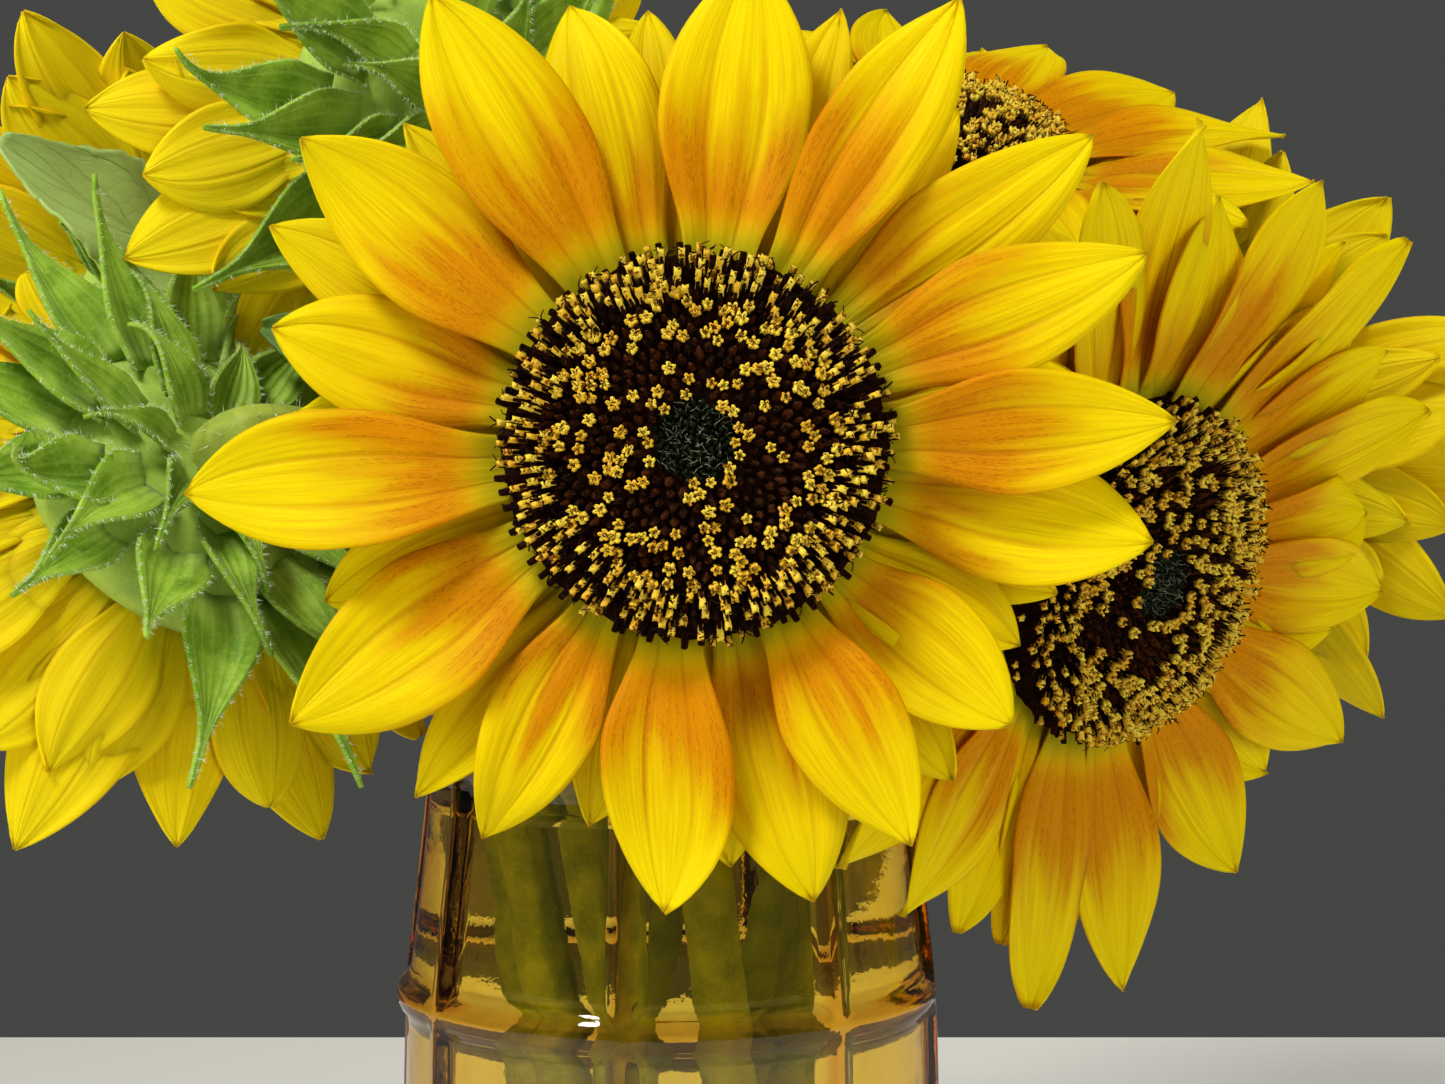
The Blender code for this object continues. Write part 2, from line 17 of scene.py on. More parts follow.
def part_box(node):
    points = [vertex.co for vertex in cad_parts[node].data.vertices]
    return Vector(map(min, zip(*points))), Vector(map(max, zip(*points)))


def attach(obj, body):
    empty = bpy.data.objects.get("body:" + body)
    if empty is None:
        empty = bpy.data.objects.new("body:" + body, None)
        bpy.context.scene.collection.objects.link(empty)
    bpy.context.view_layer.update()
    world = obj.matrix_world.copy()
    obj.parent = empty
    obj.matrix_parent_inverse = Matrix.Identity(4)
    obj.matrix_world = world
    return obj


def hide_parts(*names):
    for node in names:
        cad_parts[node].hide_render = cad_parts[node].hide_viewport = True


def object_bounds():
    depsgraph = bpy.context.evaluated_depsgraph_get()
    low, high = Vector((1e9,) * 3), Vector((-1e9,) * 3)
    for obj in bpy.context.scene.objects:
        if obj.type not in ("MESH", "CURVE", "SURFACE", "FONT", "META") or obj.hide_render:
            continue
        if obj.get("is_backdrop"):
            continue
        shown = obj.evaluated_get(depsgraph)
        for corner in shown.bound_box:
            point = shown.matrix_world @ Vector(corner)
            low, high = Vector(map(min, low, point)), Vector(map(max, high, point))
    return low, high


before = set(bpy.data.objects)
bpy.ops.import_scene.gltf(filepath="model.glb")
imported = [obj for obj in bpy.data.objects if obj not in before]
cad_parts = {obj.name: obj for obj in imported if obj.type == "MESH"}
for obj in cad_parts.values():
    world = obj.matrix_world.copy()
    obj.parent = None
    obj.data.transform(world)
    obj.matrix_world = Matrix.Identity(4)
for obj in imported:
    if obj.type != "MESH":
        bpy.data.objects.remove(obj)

CAD_LOW, CAD_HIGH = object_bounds()
UP = Vector((0.0, 0.0, 1.0))
FULL_TURN = 2 * math.pi
ANY_TURN = (0.0, 6.28)   # a piece that may be turned any way draws its angle between these


def rounded(numbers, digits=3):
    return tuple(round(n, digits) for n in numbers)


print("the frame's box runs from", rounded(CAD_LOW), "to", rounded(CAD_HIGH))

# %% [markdown]
# ## Where the heads are
# A head's disc is a flat-backed dome. The direction in which its points spread least is the way that it
# faces, and the involucre behind it says which of the two ways that is. Everything on a head is modelled in
# the head's own frame: +z is the way that it faces, +x is level, and angles turn from +x towards +y.
# %% Read each head's place from its disc
DISC_BACK = 0.0040       # the flat back of a disc lies this far behind the head's centre


def points_of(node):
    """A frame node's points, once each."""
    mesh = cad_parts[node].data
    flat = np.empty(len(mesh.vertices) * 3, np.float32)
    mesh.vertices.foreach_get("co", flat)
    return np.unique(flat.reshape(-1, 3).round(7), axis=0).astype(float)


def head_place(name):
    """The matrix of a head's own frame, and the radius of its disc."""
    disc = points_of(name + "_disc")
    middle = disc.mean(axis=0)
    facing = np.linalg.eigh(np.cov((disc - middle).T))[1][:, 0]
    behind = points_of(name + "_involucre").mean(axis=0)
    if facing @ (middle - behind) < 0:
        facing = -facing
    heights = (disc - middle) @ facing
    radius = np.linalg.norm(disc - middle - np.outer(heights, facing), axis=1).max()
    centre = middle + facing * (heights.min() + DISC_BACK)
    facing = Vector(facing).normalized()
    level = UP.cross(facing).normalized()
    turn = Matrix((level, facing.cross(level), facing)).transposed().to_4x4()
    return Matrix.Translation(Vector(centre)) @ turn, float(radius)


HEAD_NAMES = [n[:-5] for n in sorted(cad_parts) if n.endswith("_disc")]
HEADS = {name: head_place(name) for name in HEAD_NAMES}
for name, (place, radius) in HEADS.items():
    print(name, "centre", rounded(place.translation, 4), "disc radius", round(radius, 4))

# %% [markdown]
# ## Shader maths as expressions
# A material is easier to read as arithmetic than as a list of nodes. The class below wraps a socket, so
# that `1 - mask * 0.5` adds the Math nodes it needs. Colours are mixed with Mix nodes. `node` makes every
# other node from its type, its settings and its sockets.
# %% Helpers for materials
class Value:
    """A number that changes over a surface."""

    def __init__(self, make, socket):
        self.make = make
        self.socket = socket

    def math(self, operation, *others):
        return self.make.node("ShaderNodeMath", {"operation": operation}, dict(enumerate((self, *others))))

    def __add__(self, other):
        return self.math("ADD", other)

    def __sub__(self, other):
        return self.math("SUBTRACT", other)

    def __mul__(self, other):
        return self.math("MULTIPLY", other)

    def __rsub__(self, other):
        return (self * -1.0).math("ADD", other)

    __radd__ = __add__
    __rmul__ = __mul__

    def step(self, low, high):
        """0 below low, 1 above high, smooth between."""
        settings = {"interpolation_type": "SMOOTHSTEP"}
        sockets = {"Value": self, "From Min": low, "From Max": high}
        return self.make.node("ShaderNodeMapRange", settings, sockets, "Result")


class Finish:
    """A new material with a Principled shader, and the methods that add nodes to it."""

    def __init__(self, name, **constants):
        self.material = bpy.data.materials.new(name)
        self.material.use_nodes = True
        self.tree = self.material.node_tree
        self.shader = self.tree.nodes["Principled BSDF"]
        for socket, value in constants.items():
            self.shader.inputs[socket.replace("_", " ")].default_value = value

    def node(self, kind, settings=None, sockets=None, output=0):
        made = self.tree.nodes.new(kind)
        for key, value in (settings or {}).items():
            if key == "stops":
                self.set_stops(made.color_ramp, value)
            else:
                setattr(made, key, value)
        for key, value in (sockets or {}).items():
            if isinstance(value, Value):
                self.tree.links.new(value.socket, made.inputs[key])
            else:
                made.inputs[key].default_value = value
        return Value(self, made.outputs[output])

    def set_stops(self, ramp, stops):
        while len(ramp.elements) < len(stops):
            ramp.elements.new(0.5)
        for element, (position, colour) in zip(ramp.elements, stops):
            element.position = position
            element.color = (*colour, 1.0)

    def place(self):
        """Position on the object, in metres."""
        return self.node("ShaderNodeTexCoord", output="Object")

    def uv(self):
        """Position across and along the piece's own UV map, as two numbers."""
        split = self.node("ShaderNodeSeparateXYZ", sockets={0: self.node("ShaderNodeUVMap")})
        return split, Value(self, split.socket.node.outputs["Y"])

    def attribute(self, name):
        return self.node("ShaderNodeAttribute", {"attribute_name": name}, output="Fac")

    def joined(self, x, y, z=0.0):
        return self.node("ShaderNodeCombineXYZ", sockets={"X": x, "Y": y, "Z": z})

    def noise(self, vector, scale, detail=3.0, roughness=0.55):
        sockets = {"Vector": vector, "Scale": scale, "Detail": detail, "Roughness": roughness}
        return self.node("ShaderNodeTexNoise", sockets=sockets, output="Fac")

    def cells(self, vector, scale, feature="F1"):
        sockets = {"Vector": vector, "Scale": scale}
        return self.node("ShaderNodeTexVoronoi", {"feature": feature}, sockets, "Distance")

    def mix(self, share, first, second):
        """Colours mixed by a share from 0 to 1."""
        pair = [c if isinstance(c, Value) else (*c, 1.0) for c in (first, second)]
        return self.node("ShaderNodeMix", {"data_type": "RGBA"}, {0: share, 6: pair[0], 7: pair[1]}, 2)

    def ramp(self, value, *stops):
        return self.node("ShaderNodeValToRGB", {"stops": stops}, {"Fac": value})

    def bump(self, height, distance, strength):
        sockets = {"Height": height, "Distance": distance, "Strength": strength}
        return self.node("ShaderNodeBump", sockets=sockets)

    def set(self, **links):
        for socket, value in links.items():
            self.tree.links.new(value.socket, self.shader.inputs[socket.replace("_", " ")])
        return self.material


def srgb(r, g, b):
    """A colour given as 0 to 255 screen values, as linear light."""
    return tuple((v / 255 / 12.92) if v < 11 else ((v / 255 + 0.055) / 1.055) ** 2.4 for v in (r, g, b))


# %% [markdown]
# ## Pieces
# Every piece is built in a bmesh that is already in world space, so that its object stays at the origin.
# It rides on the one body, and the plain solid that it stands for is hidden.
# %% Helpers for pieces
def smoothstep(x):
    x = np.clip(x, 0.0, 1.0)
    return x * x * (3 - 2 * x)


def blank(*numbers):
    """An empty bmesh with a UV map, and with numbers of these names at its points."""
    bm = bmesh.new()
    bm.loops.layers.uv.new("UVMap")
    for name in numbers:
        bm.verts.layers.float.new(name)
    return bm


def flat_grid(bm, across, along):
    """Adds a flat grid. Gives its points, and how far across (-1 to 1) and along (0 to 1) each one is."""
    verts = bmesh.ops.create_grid(bm, x_segments=across, y_segments=along, size=1.0, calc_uvs=True)["verts"]
    flat = np.array([v.co for v in verts])
    return verts, flat[:, 0], (flat[:, 1] + 1.0) / 2.0


def finished_mesh(name, bm):
    """Writes a bmesh into a new mesh, and frees it."""
    mesh = bpy.data.meshes.new(name)
    bm.to_mesh(mesh)
    bm.free()
    return mesh


def add_piece(name, source, material, slot, *stands_for, smooth=True):
    """Makes a bmesh or a mesh into a piece of the object."""
    mesh = finished_mesh(name, source) if isinstance(source, bmesh.types.BMesh) else source
    for finish in material if isinstance(material, tuple) else (material,):
        mesh.materials.append(finish)
    mesh.shade_smooth() if smooth else mesh.shade_flat()
    piece = bpy.data.objects.new(name, mesh)
    bpy.context.scene.collection.objects.link(piece)
    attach(piece, "root")
    if stands_for:
        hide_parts(*stands_for)
    return piece


def add_wall(piece, thickness, offset=0.0, back_material=0):
    """Gives a thin sheet its thickness."""
    wall = piece.modifiers.new("thickness", "SOLIDIFY")
    wall.thickness = thickness
    wall.offset = offset
    wall.material_offset = back_material


def turned(outline, steps):
    """A bmesh of an outline of (radius, height) points, turned round the upright axis."""
    bm = bmesh.new()
    verts = [bm.verts.new((radius, 0.0, height)) for radius, height in outline]
    edges = [bm.edges.new(pair) for pair in zip(verts, verts[1:])]
    bmesh.ops.spin(bm, geom=verts + edges, cent=(0, 0, 0), axis=UP, angle=FULL_TURN, steps=steps,
                   use_merge=True)
    bmesh.ops.remove_doubles(bm, verts=bm.verts, dist=1e-6)
    bmesh.ops.recalc_face_normals(bm, faces=bm.faces)
    return bm


# %% [markdown]
# A disc has hundreds of florets and a stem hundreds of hairs. Each kind is modelled once, as a template one
# unit tall, and all of its copies go into one mesh, with a number of its own for every copy.
# %% Helpers for copies
def scatter(name, template, matrices):
    """One mesh of many copies of a small template mesh, each placed by its matrix."""
    count, corners = len(template.vertices), len(template.loops)
    co = np.empty(count * 3)
    template.vertices.foreach_get("co", co)
    co = np.c_[co.reshape(-1, 3), np.ones(count)]
    placed = np.concatenate([co @ np.array(m).T[:, :3] for m in matrices])
    index, starts = np.empty(corners, int), np.empty(len(template.polygons), int)
    template.loops.foreach_get("vertex_index", index)
    template.polygons.foreach_get("loop_start", starts)
    copies = np.arange(len(matrices))[:, None]
    mesh = bpy.data.meshes.new(name)
    mesh.vertices.add(len(placed))
    mesh.vertices.foreach_set("co", placed.ravel())
    mesh.loops.add(corners * len(matrices))
    mesh.loops.foreach_set("vertex_index", (index[None] + copies * count).ravel())
    mesh.polygons.add(len(starts) * len(matrices))
    mesh.polygons.foreach_set("loop_start", (starts[None] + copies * corners).ravel())
    tint = mesh.attributes.new("tint", "FLOAT", "POINT")
    tints = np.random.default_rng(len(matrices)).random(len(matrices))
    tint.data.foreach_set("value", np.repeat(tints, count).astype(np.float32))
    mesh.update(calc_edges=True)
    mesh.validate()
    return mesh


def add_copies(name, shape, matrices, finish, slot, smooth=False):
    return add_piece(name, scatter(name, shape, matrices), finish, slot, smooth=smooth)


def template(build):
    """A small mesh made by a function that fills a bmesh, for scatter."""
    bm = bmesh.new()
    build(bm)
    bmesh.ops.recalc_face_normals(bm, faces=bm.faces)
    return finished_mesh(build.__name__, bm)


def stand(point, axis, spin, scale, height):
    """A matrix that stands a one-unit-tall shape at a point, along an axis."""
    turn = axis.to_track_quat("Z", "Y").to_matrix().to_4x4()
    size = Matrix.Diagonal((scale, scale, height, 1.0))
    return Matrix.Translation(point) @ turn @ Matrix.Rotation(spin, 4, "Z") @ size


def upright_cone(bm, segments, foot, top, height=1.0):
    """A cone that stands on the ground plane."""
    lifted = Matrix.Translation((0, 0, height / 2))
    bmesh.ops.create_cone(bm, segments=segments, radius1=foot, radius2=top, depth=height, cap_ends=True,
                          matrix=lifted)


# %% [markdown]
# ## Camera, light and floor
# The bunch is looked at from close by and just above the middle of the vase, with the camera tilted up by
# less than a degree. The floor is a pale ledge that ends behind the vase. Large soft lamps stand to the
# upper left, to the right and behind, so that light also comes through the rays and the glass. Only the
# upper left one, the key, shines back from glossy surfaces.
# %% Camera, floor and lamps
scene = bpy.context.scene
scene.view_settings.view_transform = "Standard"
camera = bpy.data.objects.new("camera", bpy.data.cameras.new("camera"))
camera.data.lens = 52.0
camera.data.clip_start = 0.01
camera.location = (0.0096, -0.366, 0.151)
camera.rotation_euler = (math.radians(90.93), 0.0, 0.0)
scene.collection.objects.link(camera)
scene.camera = camera


FLOOR_MIDDLE = (0.0, -0.29, -0.02)
FLOOR_SIZE = (3.0, 1.22, 0.0398)


def plain_floor():
    paint = Finish("floor_paint", Roughness=0.55)
    grain = paint.noise(paint.place(), 3.0)
    paint.set(Base_Color=paint.ramp(grain, (0.0, (0.78, 0.77, 0.73)), (1.0, (0.85, 0.84, 0.80))))
    bm = bmesh.new()
    placed = Matrix.Translation(FLOOR_MIDDLE) @ Matrix.Diagonal((*FLOOR_SIZE, 1.0))
    bmesh.ops.create_cube(bm, size=1.0, matrix=placed)
    mesh = finished_mesh("floor", bm)
    mesh.materials.append(paint.material)
    floor = bpy.data.objects.new("floor", mesh)
    scene.collection.objects.link(floor)
    floor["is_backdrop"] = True


def softbox(name, place, target, size, watts, colour):
    lamp = bpy.data.lights.new(name, "AREA")
    lamp.shape = "RECTANGLE"
    lamp.size, lamp.size_y = size
    lamp.energy = watts
    lamp.color = colour
    holder = bpy.data.objects.new(name, lamp)
    holder.location = place
    holder.visible_glossy = name == "key"
    holder.visible_transmission = False
    holder.rotation_euler = (Vector(target) - Vector(place)).to_track_quat("-Z", "Y").to_euler()
    scene.collection.objects.link(holder)


plain_floor()
softbox("key", (-0.35, -0.50, 0.85), (0.0, -0.03, 0.17), (0.22, 0.22), 6.6, (1.0, 0.97, 0.90))
softbox("fill", (0.75, -0.70, 0.30), (0.0, 0.0, 0.16), (0.6, 0.6), 3.8, (1.0, 0.98, 0.95))
softbox("left", (-0.85, -0.55, 0.22), (-0.05, 0.0, 0.18), (0.5, 0.5), 3.6, (1.0, 0.98, 0.94))
softbox("back", (0.30, 0.75, 0.75), (0.0, 0.0, 0.18), (0.6, 0.4), 5.0, (1.0, 0.98, 0.94))
world = bpy.data.worlds.new("studio")
world.use_nodes = True
world.node_tree.nodes["Background"].inputs["Color"].default_value = (0.060, 0.062, 0.058, 1.0)
world.node_tree.nodes["Background"].inputs["Strength"].default_value = 1.0
scene.world = world

# %% [markdown]
# ## The finish of a ray
# A sunflower ray is yellow, with about a dozen fine lines along it. Its lower half has an orange-brown
# blush, which breaks up into fine streaks towards the tip, its foot is greenish, and its edges are a thin
# red-brown line. The UV map runs across (x) and along (y) the ray, so every pattern follows its bend.
# %% Ray materials
def ray_finish(name, pale):
    """The upper side of a ray, or its paler back."""
    m = Finish(name, Roughness=0.6, Specular_IOR_Level=0.07, Subsurface_Weight=0.35,
               Subsurface_Scale=0.0020, Subsurface_Radius=(1.0, 0.75, 0.03))
    across, along = m.uv()
    blush = m.attribute("blush")
    tone = m.attribute("tone")
    from_middle = (across * 2.0 - 1.0).math("ABSOLUTE")
    streaks = m.noise(m.joined(across * 42.0 + tone * 50.0, along * 2.0, tone * 9.0), 1.0, 5.0, 0.65)
    bands = m.noise(m.joined(across * 5.0 + tone * 23.0, along * 1.2, tone * 31.0), 1.0, 2.0)
    specks = m.noise(m.joined(across * 120.0, along * 48.0, tone * 17.0), 1.0, 3.0, 0.7)
    yellow = m.mix(streaks.step(0.36, 0.62), srgb(230, 184, 0), srgb(250, 216, 0))
    yellow = m.mix(tone.step(0.3, 1.0) * 0.4, yellow, srgb(240, 192, 0))
    yellow = m.mix(along.step(0.55, 1.0) * 0.5, yellow, srgb(252, 226, 4))
    orange = m.mix(specks.step(0.44, 0.60) * streaks.step(0.40, 0.60), srgb(212, 128, 0), srgb(170, 82, 0))
    reach = blush * 0.46 + 0.16 + (bands - 0.5) * 0.80 + (streaks - 0.5) * 0.40
    zone = (reach - along).step(-0.14, 0.22) * along.step(0.03, 0.24) * blush.step(0.0, 0.75)
    colour = m.mix(zone * (0.30 if pale else 0.88), yellow, orange)
    # painted shade: the two main creases are painted a darker orange-brown, most towards the foot, for the
    # shade that falls in them
    shaded_groove = 1.0 - (from_middle - 0.36).math("ABSOLUTE").step(0.0, 0.07)
    colour = m.mix(shaded_groove * (1.0 - along.step(0.3, 1.0)) * 0.42, colour, srgb(190, 104, 2))
    colour = m.mix(streaks.step(0.60, 0.72) * (1.0 - along * 0.6) * 0.25, colour, srgb(198, 120, 0))
    foot = (0.11 + (streaks - 0.5) * 0.06 - along).step(-0.07, 0.05)
    colour = m.mix(foot * 0.80, colour, srgb(164, 158, 16))
    edge = from_middle.step(0.962, 1.0) * (0.97 - along).step(0.0, 0.3)
    colour = m.mix(edge * 0.35, colour, srgb(178, 86, 0))
    colour = m.mix(along.step(0.965, 0.995) * 0.6, colour, srgb(150, 92, 10))
    if pale:
        colour = m.mix(0.30, colour, srgb(244, 220, 30))
    ribs = (across * 62.8 + (bands - 0.5) * 3.0).math("SINE")
    height = ribs * 0.14 + streaks * 0.8 + specks * 0.25 - shaded_groove * 1.1
    return m.set(Base_Color=colour, Roughness=streaks * 0.25 + 0.45, Normal=m.bump(height, 0.00022, 0.60))


RAY_FINISH = (ray_finish("ray_upper_side", False), ray_finish("ray_back", True))
print("ray materials use", len(RAY_FINISH[0].node_tree.nodes), "nodes")

# %% [markdown]
# ## One ray
# A ray is a thin blade, so it starts as a grid, and every point of the grid is moved to its place on the
# bent blade: narrow at its foot, widest past its middle, and pointed. Its cross-section is a shallow channel
# with three soft creases. Real rays push each other aside, so a ray is made again, shorter and lower, while
# its outer half touches one that stands already. A Solidify modifier gives it a thickness, and turns its
# back over to the second material.
# %% Shape a ray
RAY_ACROSS, RAY_ALONG = 16, 28
RAY_THICKNESS = 0.00035
RAY_TRIES = 7            # times a ray is made before it stays where it is
RAY_SHORTER = 0.0008     # for each new try, the ray is this much shorter
RAY_LOWER = 0.0009       # and its tip is this much lower
RAY_GAP = 0.0006         # least distance between a ray's outer half and another ray
OUTER_PART = 0.45        # the outer half starts at this share of the ray's length
FINISHED_RAYS = []       # search trees of the rays that stand already
BACK_ROW_BASE = -0.0025  # a ray that starts below this is in a back row, and its tip curls back


def ray_outline(s, fullness):
    """Half width of a ray along its length, as a share of its greatest half width."""
    foot = 0.46 + 0.54 * smoothstep(s / 0.48)
    end = np.clip((s - fullness) / (1.0 - fullness), 0.0, 1.0)
    return np.maximum(foot * (1.0 - end ** 2.15) ** 0.86, 0.014)


def shape_ray(bm, grid, place, turn, inner, reach, width, base, tip, rng, blush, lift_of_tip):
    """Bends a flat grid into a ray, and gives some points of its outer half. Inner and reach are distances
    from the head's centre, base and tip are heights from its centre plane."""
    roll = rng.uniform(0.05, 0.18)
    curl = abs(rng.gauss(0.0, lift_of_tip)) * (-1.0 if base < BACK_ROW_BASE else 0.8)
    bow = rng.uniform(-0.0008, 0.0038)
    sway = rng.gauss(0.0, 0.0022)
    twist = rng.gauss(0.0, 0.20)
    channel, phase = rng.uniform(0.04, 0.36), rng.uniform(*ANY_TURN)
    crease, fullness = rng.uniform(0.00018, 0.00050), rng.uniform(0.38, 0.54)
    ripple = rng.uniform(0.0005, 0.0016)
    verts, t, s = grid
    t = -t
    half = width / 2 * ray_outline(s, fullness)
    radius = inner + (reach - inner) * s
    end = np.clip((s - 0.72) / 0.28, 0.0, 1.0)
    height = base + (tip - base) * (0.55 * s + 0.45 * s * s) + bow * np.sin(math.pi * s) + curl * end ** 2
    side = sway * np.sin(math.pi * 0.5 * s) ** 2
    slope = np.arctan2((tip - base) * (0.55 + 0.9 * s) + bow * math.pi * np.cos(math.pi * s), reach - inner)
    angle = roll * np.sin(math.pi * np.clip(s * 1.2, 0, 1)) + twist * s * s
    fading = 1.0 - 0.6 * s
    dip = channel * half * (t * t - 0.35) * fading
    dip = dip + crease * np.cos(3.0 * math.pi * t) * fading * smoothstep(s / 0.15)
    dip = dip + ripple * np.sin(7.0 * s + phase + 1.5 * t) * np.abs(t) ** 3 * smoothstep(s / 0.4)
    across = half * t * np.cos(angle) - dip * np.sin(angle)
    lift = half * t * np.sin(angle) + dip * np.cos(angle)
    x = radius - lift * np.sin(slope)
    y = side + across
    z = height + lift * np.cos(slope)
    seat = place @ Matrix.Rotation(turn, 4, "Z")
    tone_layer, blush_layer = bm.verts.layers.float["tone"], bm.verts.layers.float["blush"]
    tone = rng.random()
    for vert, point in zip(verts, np.c_[x, y, z]):
        vert.co = seat @ Vector(point)
        vert[tone_layer] = tone
        vert[blush_layer] = blush
    return [vert for vert, along in zip(verts, s) if along > OUTER_PART][::3]


# %% Place and finish rays
def place_ray(trees, bm, place, turn, inner, reach, width, base, tip, rng, blush, lift_of_tip=0.0010):
    """Adds a ray, and makes it again, shorter and lower, while its outer half touches a finished ray."""
    grid = flat_grid(bm, RAY_ACROSS, RAY_ALONG)
    for attempt in range(RAY_TRIES):
        outer = shape_ray(bm, grid, place, turn, inner, reach - RAY_SHORTER * attempt, width, base,
                          tip - RAY_LOWER * attempt, rng, blush, lift_of_tip)
        if not any(tree.find_nearest(vert.co, RAY_GAP)[0] for tree in trees for vert in outer):
            return


def finish_rays(name, bm, *stands_for):
    """Makes the rays a piece, which the next rays then stay clear of."""
    FINISHED_RAYS.append(BVHTree.FromBMesh(bm))
    piece = add_piece(name, bm, RAY_FINISH, "ray_yellow", *stands_for)
    add_wall(piece, RAY_THICKNESS, back_material=1)


# %% [markdown]
# ## The rays of the front flower
# The front flower is seen full face, so its rays are placed one by one. Rays of the front row have a strong
# blush, and those of the back row are plain yellow. Each separate ray stands for the plain solid of the same
# number, and the front row is made first, so that the rows behind give way. Small rays fill in behind.
# %% Front rays
# (direction in degrees, reach from the head's centre, width, row)
FRONT_RAYS = (
    (2, 0.0676, 0.0165, 0), (24, 0.0690, 0.0170, 0), (40, 0.0735, 0.0160, 1), (61, 0.0740, 0.0150, 0),
    (72, 0.0680, 0.0120, 2), (83, 0.0700, 0.0200, 0), (96, 0.0690, 0.0110, 2), (107, 0.0700, 0.0170, 1),
    (120, 0.0740, 0.0190, 0), (144, 0.0707, 0.0180, 0), (154, 0.0730, 0.0150, 2), (165, 0.0640, 0.0175, 1),
    (187, 0.0725, 0.0185, 0), (201, 0.0600, 0.0140, 2), (213, 0.0687, 0.0200, 0), (233, 0.0650, 0.0130, 2),
    (240, 0.0640, 0.0150, 1), (263, 0.0655, 0.0170, 0), (273, 0.0610, 0.0120, 2), (285, 0.0671, 0.0185, 1),
    (298, 0.0640, 0.0160, 0), (308, 0.0625, 0.0130, 2), (318, 0.0600, 0.0165, 1), (327, 0.0570, 0.0130, 2),
    (347, 0.0668, 0.0180, 1),
)
# (direction in degrees, reach)
FRONT_FILLERS = (
    (12, 0.0590), (33, 0.0620), (50, 0.0650), (77, 0.0600), (90, 0.0640), (113, 0.0600), (132, 0.0670),
    (176, 0.0600), (194, 0.0560), (224, 0.0590), (250, 0.0580), (279, 0.0560), (292, 0.0570), (313, 0.0540),
    (338, 0.0580), (354, 0.0560),
)
FIRST_ROW_BASE = -0.0018       # the front row starts this high, seen from the disc's plane
ROW_STEP = 0.0019              # each row of rays starts this far behind the row in front
FOOT_INSET = 0.0022            # the rays start this far inside the disc's rim
TIP_OF_ROW = (0.0030, 0.0, -0.0045)
BLUSH_OF_ROW = (0.95, 0.80, 0.25)
FILLER_WIDTH = 0.0140
FILLER_TIP = -0.0085
FAINT_BLUSH = 0.15


def front_flower_rays():
    place, radius = HEADS["front_flower"]
    rng = random.Random(11)
    inner = radius - FOOT_INSET
    row_by_row = sorted(enumerate(FRONT_RAYS, 1), key=lambda ray: ray[1][3])
    for number, (direction, length, width, row) in row_by_row:
        bm = blank("tone", "blush")
        tip = TIP_OF_ROW[row] + rng.uniform(-0.0012, 0.0012)
        blush = BLUSH_OF_ROW[row] * rng.uniform(0.75, 1.05)
        place_ray(FINISHED_RAYS if row else [], bm, place, math.radians(direction), inner, length + 0.0012,
                  width * 1.12, FIRST_ROW_BASE - row * ROW_STEP, tip, rng, blush, 0.0028)
        finish_rays(f"front_ray_{number:02d}", bm, f"front_flower_ray_{number:02d}")
    bm = blank("tone", "blush")
    for direction, length in FRONT_FILLERS:
        place_ray(FINISHED_RAYS, bm, place, math.radians(direction), inner, length, FILLER_WIDTH,
                  FIRST_ROW_BASE - 3 * ROW_STEP, FILLER_TIP, rng, FAINT_BLUSH)
    finish_rays("front_back_row", bm)


front_flower_rays()
print("front flower:", len(FRONT_RAYS), "rays and", len(FRONT_FILLERS), "behind them")

# %% [markdown]
# ## The rays of the other heads
# A plain ring of rays says how far each of its arms reaches and how high its tip stands, because the frame
# bent them clear of their neighbours. A ray is laid along every arm, and two shorter rays stand in the gap
# behind it. Like the front rays, they all give way to the rays that stand already.
# %% Rays of the other heads
RING_BASES = (-0.0016, -0.0034, -0.0046)   # heights at which the three rays of an arm start
WIDEST_RAY = 0.0205
RING_ARMS = {"right_flower": 14, "upper_right_flower": 13, "back_flower": 13, "upper_left_flower": 13,
             "far_left_flower": 13, "lower_left_flower": 13}


def arm_tips(name):
    """(direction, reach, height) of every arm's tip in a plain ring, in the head's own frame."""
    place, _ = HEADS[name]
    inverse = np.array(place.inverted())
    points = points_of(name + "_rays")
    local = (np.c_[points, np.ones(len(points))] @ inverse.T)[:, :3]
    radii = np.hypot(local[:, 0], local[:, 1])
    turns = np.arctan2(local[:, 1], local[:, 0])
    count = RING_ARMS[name]
    tips = []
    for arm in range(count):
        turn = FULL_TURN * arm / count
        off = np.abs((turns - turn + math.pi) % FULL_TURN - math.pi)
        near = np.where(off < 0.3 * math.pi / count, radii, 0.0)
        best = int(near.argmax())
        tips.append((turn, float(radii[best]), float(local[best, 2])))
    return tips


